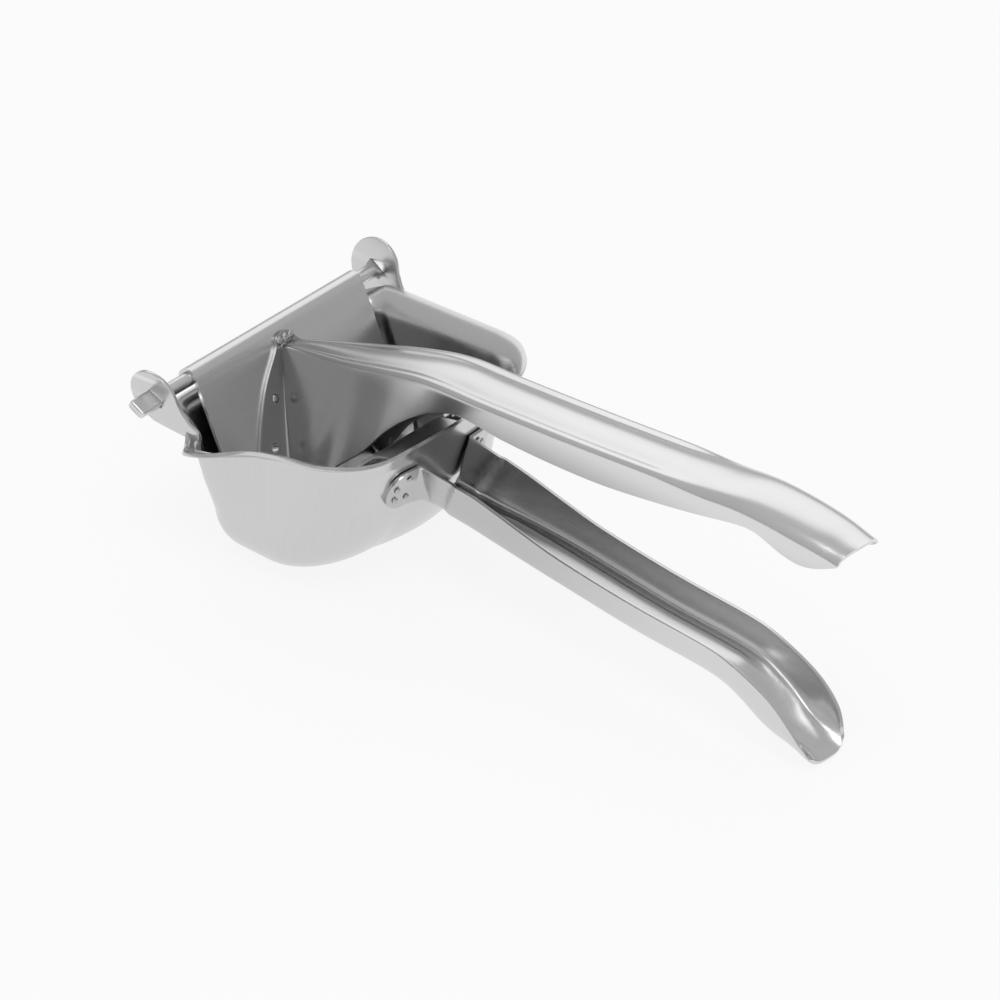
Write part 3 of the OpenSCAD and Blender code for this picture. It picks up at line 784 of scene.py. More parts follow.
@dataclass
class Bowl:
    """The deep-drawn bowl with its flared lip, spout and ears. Lengths are in millimetres."""

    stand: Standing
    sheet: float = 1.0
    width: float = 84.6
    front: float = 56.2
    depth: float = 44.4
    lip: float = 5.0
    draft: float = 0.8
    front_flare: float = 3.0
    base_fillet: float = 12.5
    spout_reach: float = 6.0
    spout_drop: float = 6.0
    lip_foot: float = -9.0
    rim: float = -3.4
    base_mid: float = 29.0
    back_fillet: float = 9.0
    front_fillet: float = 27.0
    front_fillet_top: float = -17.6
    back_low: float = 8.5
    back_high: float = 2.6
    corner_back: float = 5.5
    corner_back_low: float = 9.5
    corner_front: float = 23.0
    corner_front_high: float = 17.5
    end_bulge: float = 2.6
    end_bulge_high: float = 0.5
    end_flare: float = 0.5
    end_rim_dip: float = 2.4
    lip_angle: float = 80.0
    back_lip: float = 0.85
    back_dip: float = 2.9
    back_zone: float = 8.0
    spout_x: float = 13.5
    spout_foot: float = -33.0
    spout_height: float = 24.0
    spout_lengths: tuple[float, float] = (5.0, 16.5)
    drop_back: float = 2.0
    drop_lengths: tuple[float, float] = (6.0, 33.0)
    crease_x: float = 30.5
    crease_width: float = 1.3
    crease_depth: float = 0.45
    crease_top: float = -7.0
    crease_fade: float = 5.0
    ear_r: float = 7.5
    ear_centre: tuple[float, float] = (-0.35, 0.55)
    ear_neck: Points = (
        (-3.6, -6.2), (-1.5, -7.4), (3, -8), (9, -8.6), (13, -8.4), (13.4, -6.6), (12.6, -5.4), (10.4, -4.2),
        (8.5, -1.5), (7.3, 1.0),
    )
    ear_foot: float = -6.3
    ear_lean: float = 10.0
    ear_bevel: float = 0.18
    slot_size: tuple[float, float] = (5.24, 2.44)
    slot_round: float = 0.4
    slot_turn: float = 30.0
    counts: dict[str, int] = field(
        default_factory=lambda: dict(back=10, back_corner=8, near=48, corner=12, front=12, far=12)
    )
    base_shares: tuple[float, ...] = (0, 0.2, 0.5, 0.8)
    fillet_steps: int = 9
    wall_steps: int = 4
    lip_steps: int = 7

    @property
    def wall_low(self) -> float:
        """Half width of the side walls at the top of the fillet."""
        return self.width / 2 - self.lip - self.draft

    @property
    def wall_high(self) -> float:
        """Half width of the side walls at the foot of the lip."""
        return self.width / 2 - self.lip

    @property
    def front_high(self) -> float:
        """Place of the end wall's corners at the foot of the lip."""
        return self.front + self.front_flare

    @property
    def front_rise(self) -> float:
        """Height of the fillet at the end wall."""
        return self.front_fillet_top - self.base_z(self.front)

    def base_z(self, x: float) -> float:
        """Height of the base's underside at x."""
        return -self.depth - math.tan(math.radians(self.stand.tilt)) * (x - self.base_mid)

    def outline(
        self, back: float, front: float, half: float, r_back: float, r_front: float, bulge: float
    ) -> np.ndarray:
        """One ring of the bowl.

        Args:
            back: place of the back wall.
            front: place of the end wall's corners.
            half: half width.
            r_back: radius of the back corners.
            r_front: radius of the front corners.
            bulge: how far the end wall's middle stands out.

        Returns:
            Points in the plane, from the back round the near side.
        """
        least_side, crowding = 0.5, 1.4
        n = self.counts
        r_front = min(r_front, front - back - r_back - least_side)
        side = (back + r_back, front - r_front)
        y_back, y_front = half - r_back, half - r_front

        def corner(x: float, y: float, r: float, start: float, count: int) -> list[tuple[float, float]]:
            """Points of a quarter circle about x and y."""
            angles = [math.radians(start + 90 * (k + 0.5) / count) for k in range(count)]
            return [(x + r * math.cos(a), y + r * math.sin(a)) for a in angles]

        across = [lerp(-1, 1, k / (n["front"] - 1)) for k in range(n["front"])]
        near = [(k / (n["near"] - 1)) ** crowding for k in range(n["near"])]
        ring = [(back, lerp(y_back, -y_back, (k + 0.5) / n["back"])) for k in range(n["back"])]
        ring += corner(side[0], -y_back, r_back, 180, n["back_corner"])
        ring += [(lerp(side[0], side[1], t), -half) for t in near]
        ring += corner(side[1], -y_front, r_front, 270, n["corner"])
        ring += [(front + bulge * (1 - s * s), s * y_front) for s in across]
        ring += corner(side[1], y_front, r_front, 0, n["corner"])
        ring += [(lerp(side[1], side[0], k / (n["far"] - 1)), half) for k in range(n["far"])]
        ring += corner(side[0], y_back, r_back, 90, n["back_corner"])
        return np.array(ring)

    def shares(self, at_corner: Callable[[float], float], sides: float, end: float) -> list[float]:
        """A share for each point of a ring.

        Args:
            at_corner: share round a front corner, from the side at 0 to the end wall at 1.
            sides: share along the sides and the back.
            end: share along the end wall.

        Returns:
            One number for each point.
        """
        n = self.counts
        steps = [(k + 0.5) / n["corner"] for k in range(n["corner"])]
        return (
            [sides] * (n["back"] + n["back_corner"] + n["near"])
            + [at_corner(t) for t in steps]
            + [end] * n["front"]
            + [at_corner(1 - t) for t in steps]
            + [sides] * (n["far"] + n["back_corner"])
        )

    @staticmethod
    def hump(d: float, lengths: tuple[float, float]) -> float:
        """Rounded hump of height 1.

        Args:
            d: distance from its middle.
            lengths: how far it reaches before and after its middle.

        Returns:
            Its height there.
        """
        length = lengths[0] if d < 0 else lengths[1]
        return 0.0 if abs(d) >= length else math.cos(math.pi / 2 * d / length) ** 2

    def spouted(self, p: Sequence[float]) -> Triple:
        """Moves a point of the near wall out and down where the spout is.

        Args:
            p: the point.

        Returns:
            The moved point.
        """
        x, y, z = p
        if y > 0:
            return (x, y, z)
        below_lip, over = 3, 8
        amount = smooth((z - self.spout_foot) / self.spout_height)
        high = smooth((z - self.lip_foot + below_lip) / over)
        dip = self.hump(x - (self.spout_x - self.drop_back), self.drop_lengths)
        drop = self.spout_drop * amount * dip * high
        pinch = math.exp(-(((x - self.crease_x) / self.crease_width) ** 2))
        crease = self.crease_depth * pinch * smooth((self.crease_top - z) / self.crease_fade)
        out = self.spout_reach * self.hump(x - self.spout_x, self.spout_lengths) - crease
        return (x, y - amount * out, z - drop)

    def fillet_row(self, turn: float, rise: Sequence[float]) -> list[Triple]:
        """One row of the fillet between base and walls.

        Args:
            turn: angle round the fillet, 0 at the base and a right angle at the walls.
            rise: height of the fillet at each point.

        Returns:
            The row's points.
        """
        s, c = math.sin(turn), math.cos(turn)
        least_corner, flattest = 2, 0.3
        ring = self.outline(
            self.back_low + self.back_fillet * (1 - s),
            self.front - self.front_fillet * (1 - s),
            self.wall_low - self.base_fillet * (1 - s),
            max(least_corner, self.corner_back_low - self.back_fillet * (1 - s)),
            self.corner_front - self.base_fillet * (1 - s),
            self.end_bulge * lerp(flattest, 1, s),
        )
        return [self.spouted((x, y, self.base_z(x) + rise[j] * (1 - c))) for j, (x, y) in enumerate(ring)]

    def wall_row(self, t: float, low: np.ndarray, high: np.ndarray, rise: Sequence[float]) -> list[Triple]:
        """One row of the walls.

        Args:
            t: share of the way up from the fillet to the lip.
            low: ring at the top of the fillet.
            high: ring at the foot of the lip.
            rise: height of the fillet at each point.

        Returns:
            The row's points.
        """
        row = []
        for j, ((x, y), (x_high, y_high)) in enumerate(zip(low, high)):
            z = lerp(self.base_z(x) + rise[j], self.lip_foot, t)
            row.append(self.spouted((lerp(x, x_high, t), lerp(y, y_high, t), z)))
        return row

    def lip_row(self, t: float, high: np.ndarray, flare: Sequence[float]) -> list[Triple]:
        """One row of the flared lip.

        Args:
            t: share of the way round the lip's curve.
            high: ring at the foot of the lip.
            flare: how far the lip is turned out at each point.

        Returns:
            The row's points.
        """
        a, whole = math.radians(self.lip_angle * t), math.radians(self.lip_angle)
        row = []
        for j, (x, y) in enumerate(high):
            d = high[(j + 1) % len(high)] - high[j - 1]
            o = unit(np.array([d[1], -d[0]]))
            back = smooth((self.back_zone - x) / self.back_zone)
            share = flare[j] * lerp(1, self.back_lip, back)
            out = self.lip * share * (1 - math.cos(a)) / (1 - math.cos(whole))
            top = self.rim - self.back_dip * back - self.end_rim_dip * (1 - flare[j])
            z = self.lip_foot + (top - self.lip_foot) * math.sin(a) / math.sin(whole)
            lean = self.end_flare * t * (1 - flare[j])
            row.append(self.spouted((x + o[0] * (out + lean), y + o[1] * out, z)))
        return row

    def rows(self) -> np.ndarray:
        """Works out the bowl's outer surface.

        Returns:
            Rows of points, from the middle of the base to the rim.
        """
        fillet, front_rise = self.base_fillet, self.front_rise

        def rise_at(t: float) -> float:
            """Height of the fillet round a front corner."""
            return lerp(fillet, front_rise, smooth(t))

        def flare_at(t: float) -> float:
            """Flare of the lip round a front corner."""
            return 1 - smooth((t - 0.15) / 0.85)

        rise, flare = self.shares(rise_at, fillet, front_rise), self.shares(flare_at, 1, 0)
        low = self.outline(
            self.back_low, self.front, self.wall_low, self.corner_back_low, self.corner_front, self.end_bulge
        )
        high = self.outline(
            self.back_high, self.front_high, self.wall_high, self.corner_back, self.corner_front_high,
            self.end_bulge_high,
        )
        turns = [math.pi / 2 * k / self.fillet_steps for k in range(self.fillet_steps + 1)]
        made = [self.fillet_row(turn, rise) for turn in turns]
        base = np.array(made[0])
        middle = base.mean(axis=0)
        spots = [[middle + (p - middle) * t for p in base] for t in self.base_shares]
        inner = [[(x, y, self.base_z(x)) for x, y, _ in row] for row in spots]
        made += [self.wall_row(k / self.wall_steps, low, high, rise) for k in range(1, self.wall_steps + 1)]
        made += [self.lip_row(k / self.lip_steps, high, flare) for k in range(1, self.lip_steps + 1)]
        return np.array(inner + made)

    def end_wall(self, y: float, z: float) -> float:
        """Finds the outside of the end wall.

        Args:
            y: place across.
            z: height.

        Returns:
            Its x there.
        """
        foot = self.base_z(self.front) + self.front_rise
        t = (z - foot) / (self.lip_foot - foot)
        if t > 0:
            x = lerp(self.front, self.front_high, t)
        else:
            down = (foot - z) / self.front_rise
            x = self.front - self.front_fillet * (1 - math.sqrt(max(0, 1 - down**2)))
        up = max(0.0, t)
        corner = lerp(self.corner_front, self.corner_front_high, up)
        flat = lerp(self.wall_low, self.wall_high, up) - corner
        if abs(y) <= flat:
            return x + lerp(self.end_bulge, self.end_bulge_high, up) * (1 - (y / flat) ** 2)
        return x - corner + math.sqrt(corner**2 - (abs(y) - flat) ** 2)

    def slot(self) -> list[tuple[float, float]]:
        """Draws an ear's slot.

        Returns:
            Points round it, in X and Z.
        """
        half_w, half_h = (size / 2 - self.slot_round for size in self.slot_size)
        made = []
        for sx, sz, start in ((1, 1, 0), (-1, 1, 90), (-1, -1, 180), (1, -1, 270)):
            for k in range(5):
                a = math.radians(start + 22.5 * k)
                px = sx * half_w + self.slot_round * math.cos(a)
                pz = sz * half_h + self.slot_round * math.sin(a)
                made.append(turned(px, pz, math.radians(-self.slot_turn)))
        return made

    def ear(self, side: int) -> bpy.types.Object:
        """One ear lobe with its slot.

        Args:
            side: -1 for the near ear, 1 for the far one.

        Returns:
            The ear as a plain mesh in the row frame.
        """
        cx, cz = self.ear_centre
        angles = [math.radians(a) for a in range(18, 224, 6)]
        lobe = [(cx + self.ear_r * math.cos(a), cz + self.ear_r * math.sin(a)) for a in angles]
        piece = outline_plate("ear", ([*lobe, *self.ear_neck], self.slot()), self.sheet, self.ear_bevel)
        co = np.zeros(len(piece.data.vertices) * 3)
        piece.data.vertices.foreach_get("co", co)
        p = co.reshape(-1, 3)
        lean = math.radians(self.ear_lean)
        up = p[:, 1] - self.ear_foot
        y = self.width / 2 - self.sheet / 2 + p[:, 2] * math.cos(lean) * side + up * math.sin(lean)
        z = self.ear_foot + up * math.cos(lean) - p[:, 2] * math.sin(lean) * side
        placed = self.stand.place(np.stack([p[:, 0], side * y, z], axis=1))
        piece.data.vertices.foreach_set("co", placed.ravel())
        merge_doubles(piece, outward=True)
        return piece

    def build(self) -> bpy.types.Object:
        """The whole bowl, one piece."""
        shell = Sheet("bowl_shell", self.rows(), self.sheet, closed=True, offset=1, crease=0.9)
        return join("bowl_steel", [shell.build(self.stand), self.ear(-1), self.ear(1)])


@dataclass
class PivotRod:
    """The rod, round between the ears and flattened and turned at its ends. Lengths are in millimetres."""

    stand: Standing
    radius: float = 1.9
    shoulder: float = 41.3
    near_end: float = -50.9
    far_end: float = 46.4
    flat: tuple[float, float] = (5.0, 2.2)
    squareness: float = 0.22
    turn: float = 30.0
    sides: int = 32
    end_steps: Points = ((0, 0.05), (0, 0.8), (0.25, 0.95), (0.8, 1.0))
    shoulder_steps: Points = ((1.2, 1), (0.3, 0.55), (-0.6, 0))

    def section(self, y: float, flatness: float, size: float = 1.0) -> np.ndarray:
        """Ring of points round the rod.

        Args:
            y: place along the rod.
            flatness: 0 for round and 1 for the flattened tongue.
            size: factor on the whole section.

        Returns:
            The ring's points.
        """
        ring = []
        for k in range(self.sides):
            a = 2 * math.pi * (k + 0.5) / self.sides
            c, s = math.cos(a), math.sin(a)
            flat_x = self.flat[0] / 2 * math.copysign(abs(c) ** self.squareness, c)
            flat_z = self.flat[1] / 2 * math.copysign(abs(s) ** self.squareness, s)
            x = lerp(self.radius * c, flat_x, flatness) * size
            z = lerp(self.radius * s, flat_z, flatness) * size
            x, z = turned(x, z, math.radians(-self.turn))
            ring.append((x, y, z))
        return np.array(ring)

    def build(self) -> bpy.types.Object:
        """Makes the rod.

        Returns:
            A closed mesh.
        """
        near = [(self.near_end + inset, 1, size) for inset, size in self.end_steps]
        near += [(-self.shoulder - out, flatness, 1.0) for out, flatness in self.shoulder_steps]
        far = [(self.shoulder + out, flatness, 1.0) for out, flatness in reversed(self.shoulder_steps)]
        far += [(self.far_end - inset, 1, size) for inset, size in reversed(self.end_steps)]
        rings = np.array([self.section(*station) for station in (*near, (0, 0, 1), *far)])
        rows, columns = rings.shape[:2]
        faces = grid_faces(rows, columns, closed=True)
        faces += [tuple(range(columns)), tuple((rows - 1) * columns + j for j in range(columns))]
        piece = mesh_piece("pivot_rod_steel", self.stand.place(rings.reshape(-1, 3)), faces)
        merge_doubles(piece, outward=True)
        piece.data.shade_smooth()
        return piece


# The swinging arm


@dataclass
class PressPlate:
    """The plate that is rolled over the rod. Lengths are in millimetres."""

    stand: Standing
    tip_r: float
    sheet: float = 1.0
    width: float = 65.0
    draft: float = 42.5
    lean: float = 25.5
    shift: float = 1.75
    roll_mid: float = 2.46
    roll_end: float = 205.0
    corner: float = 5.0
    rows_down: tuple[float, ...] = (0.8, 3, 8, 14, 20, 26, 31, 35)
    across_steps: int = 14
    roll_steps: int = 16
    corner_steps: int = 6
    edge_share: float = 0.985

    @property
    def length(self) -> float:
        """Length from the roll to the edge that sweeps inside the strainer."""
        return math.sqrt(self.tip_r**2 - (self.roll_mid + self.sheet / 2) ** 2)

    @property
    def reach(self) -> float:
        """The plate's length as a share of the length that the presser's rows are drawn for."""
        return self.length / self.draft

    def point(self, u: float, y: float, lift: float) -> Triple:
        """Finds a place on the plate.

        Args:
            u: how far down it from the roll.
            y: how far across.
            lift: how far off its middle surface.

        Returns:
            The place.
        """
        a = math.radians(self.lean)
        x = (self.roll_mid + lift) * math.cos(a) + u * math.sin(a)
        z = (self.roll_mid + lift) * math.sin(a) - u * math.cos(a)
        return (x, y + self.shift, z)

    def build(self) -> bpy.types.Object:
        """Makes the plate.

        Returns:
            One bent sheet.
        """
        inner = [lerp(-1, 1, k / self.across_steps) for k in range(1, self.across_steps)]
        across = [-1, -self.edge_share, *inner, self.edge_share, 1]
        rows = []
        for k in range(self.roll_steps + 1):
            a = math.radians(lerp(self.roll_end, self.lean, k / self.roll_steps))
            x, z = self.roll_mid * math.cos(a), self.roll_mid * math.sin(a)
            rows.append([(x, t * self.width / 2 + self.shift, z) for t in across])
        for u in self.rows_down:
            rows.append([self.point(u, t * self.width / 2, 0) for t in across])
        for k in range(self.corner_steps + 1):
            a = math.pi / 2 * k / self.corner_steps
            u = self.length - self.corner + self.corner * math.sin(a)
            half = self.width / 2 - self.corner + self.corner * math.cos(a)
            rows.append([self.point(u, t * half, 0) for t in across])
        return Sheet("press_plate_steel", np.array(rows), self.sheet).build(self.stand)


@dataclass
class UpperHandle:
    """Presser, crown and grip in one stamping, with flanges on the plate. Lengths are in millimetres."""

    stand: Standing
    plate: PressPlate
    sheet: float = 1.0
    half: float = 8.8
    crown_rise: float = 0.8
    shoulder: Points = (
        (4.5, -2.6), (8, -1.2), (14, 0.4), (30, 4), (42, 7), (54, 9.5), (62, 10.2), (73, 10),
        (106, 10.4), (147, 11.7), (158, 12.3), (168, 11.6), (178, 10.1), (184.4, 8.9), (190.5, 7.3),
    )
    width_share: Points = (
        (4.5, 0.18), (14, 0.42), (30, 0.74), (42, 0.86), (54, 0.94), (66, 1), (176, 1), (190, 0.86),
    )
    lower_edge: Points = (
        (68.9, 4.5), (74, 4.2), (80, 3.1), (92, 2.2), (104, 1.8), (116, 1.9), (128, 2.8), (144, 4.5),
        (158, 6.5), (163.5, 6.9), (166.5, 6.3), (169, 5), (174.4, 2.9), (180, 2), (184, 2.6), (188, 4.1),
    )
    bend_half: Points = ((4.9, 1.8), (17.7, 7.4), (29.3, 12.2), (41, 16.5))
    flange_edge: Points = ((4.6, 4.4), (8.8, 9.9), (14.4, 14.6), (26, 22.2), (39, 27))
    arch: Points = (
        (21.6, 16.4, -36), (27, 16.3, -28), (32.9, 16, -20.5), (41.7, 14.5, -13.9), (46.3, 13, -8.1),
        (49.7, 12, -4.7), (53.6, 11, -1.3), (58.9, 9.6, 1.8), (63.8, 9, 3.6), (68.9, 8.8, 4.5),
    )
    crown: Points = ((1, -1.1), (0.95, -0.25), (0.83, 0), (0.68, -0.45), (0.5, 0.2), (0.25, 0.9), (0, 1.05))
    crown_plain: Points = (
        (1, -2.6), (0.97, -1.5), (0.88, -0.5), (0.7, 0.2), (0.5, 0.65), (0.25, 0.97), (0, 1.05),
    )
    plain_from: float = 128.0
    plain_over: float = 24.0
    grip_start: float = 68.9
    grip_end: float = 190.5
    last_row_back: float = 2.5
    end_round: float = 1.6
    arch_crown_start: float = 28.0
    arch_belly: float = -0.8
    plate_rows: Points = (
        (7, 5.6), (10.5, 7.2), (15, 9), (20.5, 11.6), (26, 14.6), (31.5, 18), (36.5, 21.5), (40.5, 25),
    )
    holes: Points = ((10.1, 14.6), (15.9, 25.4))
    hole_d: float = 2.4
    hole_depth: float = 1.6
    tongue_r: float = 3.3
    apex_share: float = 0.36
    walls: int = 6
    flanges: int = 3
    arch_steps: int = 14
    grip_steps: int = 30
    tongue_welds: tuple[float, ...] = (-2.1, 0, 2.1)
    tongue_weld_at: float = 2.4
    tongue_weld_lift: float = 1.45
    hole_weld_lift: float = 1.15

    def crown_row(self, x: float, squash: float) -> list[Triple]:
        """Half section of the crown.

        Args:
            x: place along the handle.
            squash: factor on the crown's height.

        Returns:
            Points from the shoulder to the middle.
        """
        w, z = self.half * curve(self.width_share, x), curve(self.shoulder, x)
        plain = smooth((x - self.plain_from) / self.plain_over)
        return [
            (x, w * grooved[0], z + lerp(grooved[1], even[1], plain) * squash * self.crown_rise)
            for grooved, even in zip(self.crown, self.crown_plain)
        ]

    def wall_row(self, foot: Sequence[float], top: Sequence[float], belly: float) -> list[Triple]:
        """Half section of a side wall.

        Args:
            foot: its lowest point.
            top: the point above its highest one.
            belly: how far its middle stands out.

        Returns:
            Points from the foot up.
        """
        foot, top = np.array(foot), np.array(top)
        row = []
        for k in range(self.walls):
            t = k / self.walls
            p = foot + (top - foot) * t
            row.append((p[0], p[1] + belly * math.sin(math.pi * t), p[2]))
        return row

    @staticmethod
    def full(half: Points) -> list[Triple]:
        """Whole section from a half one."""
        return [(p[0], -p[1], p[2]) for p in half] + [tuple(p) for p in reversed(half[:-1])]

    def on_plate(self, u: float, y: float) -> Triple:
        """A place on the flanges' middle surface, without the arm's shift."""
        x, _, z = self.plate.point(u, y, self.sheet + 0.01)
        return (x, y, z)

    def tongue_rows(self) -> list[list[Triple]]:
        """Works out the tongue.

        Returns:
            Its round end, and the row behind it.
        """
        count = self.flanges + self.walls + len(self.crown)
        tongue, apex = [], []
        for k in range(count):
            t = k / (count - 1)
            a = math.pi / 2 * (1 - t)
            tongue.append(self.on_plate(2.9 - 2.4 * math.cos(a), self.tongue_r * math.sin(a)))
            if t < self.apex_share:
                side = t / self.apex_share
                apex.append(self.on_plate(lerp(4.6, 5.6, side), lerp(4.6, 2, side)))
            else:
                a = math.pi / 2 * (t - self.apex_share) / (1 - self.apex_share)
                apex.append(self.on_plate(5.6 - 2.2 * math.sin(a), 2 * math.cos(a)))
        return [self.full(tongue), self.full(apex)]

    def presser_row(self, drawn: float, x: float) -> list[Triple]:
        """One row of the presser, with its flanges.

        Args:
            drawn: place down the plate, as the rows are drawn.
            x: place of the crown.

        Returns:
            The row's points.
        """
        u = drawn * self.plate.reach
        foot = np.array(self.on_plate(u, curve(self.bend_half, drawn)))
        crown = self.crown_row(x, smooth((x - 3) / 12))
        edge = np.array(self.on_plate(u, curve(self.flange_edge, drawn)))
        flange = [tuple(edge + (foot - edge) * k / self.flanges) for k in range(self.flanges)]
        return self.full(flange + self.wall_row(foot, crown[0], 0) + crown)

    def open_row(self, foot: Sequence[float], crown: list[Triple], belly: float = 0) -> list[Triple]:
        """One row past the flanges.

        Args:
            foot: the side wall's lowest point.
            crown: half section of the crown.
            belly: how far the side wall's middle stands out.

        Returns:
            The row's points.
        """
        return self.full([tuple(foot)] * self.flanges + self.wall_row(foot, crown[0], belly) + crown)

    def grid(self) -> np.ndarray:
        """Works out the stamping's middle surface.

        Returns:
            Rows of points from the tongue to the grip's end.
        """
        rows = self.tongue_rows() + [self.presser_row(drawn, x) for drawn, x in self.plate_rows]
        spans = len(self.arch) - 1
        for k in range(1, self.arch_steps + 1):
            s = spans * k / self.arch_steps
            low = 1 + (self.plate.reach - 1) * smooth(1 - s / 5)
            foot = path(self.arch, s) * np.array([low, 1, low])
            x = lerp(self.arch_crown_start, self.grip_start, (s - 0.5) / (spans - 0.5))
            crown = self.crown_row(lerp(x, foot[0], smooth((s - 4) / 5)), 1)
            rows.append(self.open_row(foot, crown, self.arch_belly * smooth((5 - s) / 4)))
        for k in range(1, self.grip_steps + 1):
            x = lerp(self.grip_start, self.grip_end - self.last_row_back, k / self.grip_steps)
            crown = self.crown_row(x, 1)
            rows.append(self.open_row((x, crown[0][1], curve(self.lower_edge, x)), crown))
        crown = [
            (x + self.end_round * (1 - share[0] ** 2), y, z)
            for share, (x, y, z) in zip(self.crown, self.crown_row(self.grip_end, 1))
        ]
        rows.append(self.open_row((self.grip_end - 0.6, crown[0][1], crown[0][2] - 0.4), crown))
        made = np.array(rows)
        made[:, :, 1] += self.plate.shift
        return made

    def build(self) -> bpy.types.Object:
        """Makes the stamping.

        Returns:
            The piece with its flange holes.
        """
        grid = self.grid()
        columns = grid.shape[1]
        flange_rows = 1 + len(self.plate_rows)

        def has(i: int, j: int) -> bool:
            """Only the plate's rows have flanges."""
            return i < flange_rows or self.flanges <= j < columns - 1 - self.flanges

        piece = Sheet("upper_handle_steel", grid, self.sheet, has=has).build(self.stand)
        point, sheet = self.plate.point, self.sheet
        places = [(drawn * self.plate.reach, side * y) for side in (-1, 1) for y, drawn in self.holes]
        holes = [self.stand.place([point(u, y, sheet), point(u, y, 2 * sheet)]) for u, y in places]
        drill(piece, holes, self.hole_d * MM, self.hole_depth * self.sheet * MM)
        return piece

    def weld_places(self) -> WeldPlaces:
        """Finds the weld metal along the tongue and in the upper flange holes.

        Returns:
            Foot and direction of each weld, in the maker's frame.
        """
        lean = math.radians(self.plate.lean)
        n = np.array([math.cos(lean), 0, math.sin(lean)])
        across, drawn = self.holes[0]
        places = [(self.tongue_weld_at, y, self.tongue_weld_lift) for y in self.tongue_welds]
        places += [(drawn * self.plate.reach, side * across, self.hole_weld_lift) for side in (-1, 1)]
        return [(np.array(self.plate.point(u, y, lift * self.plate.sheet)), n) for u, y, lift in places]


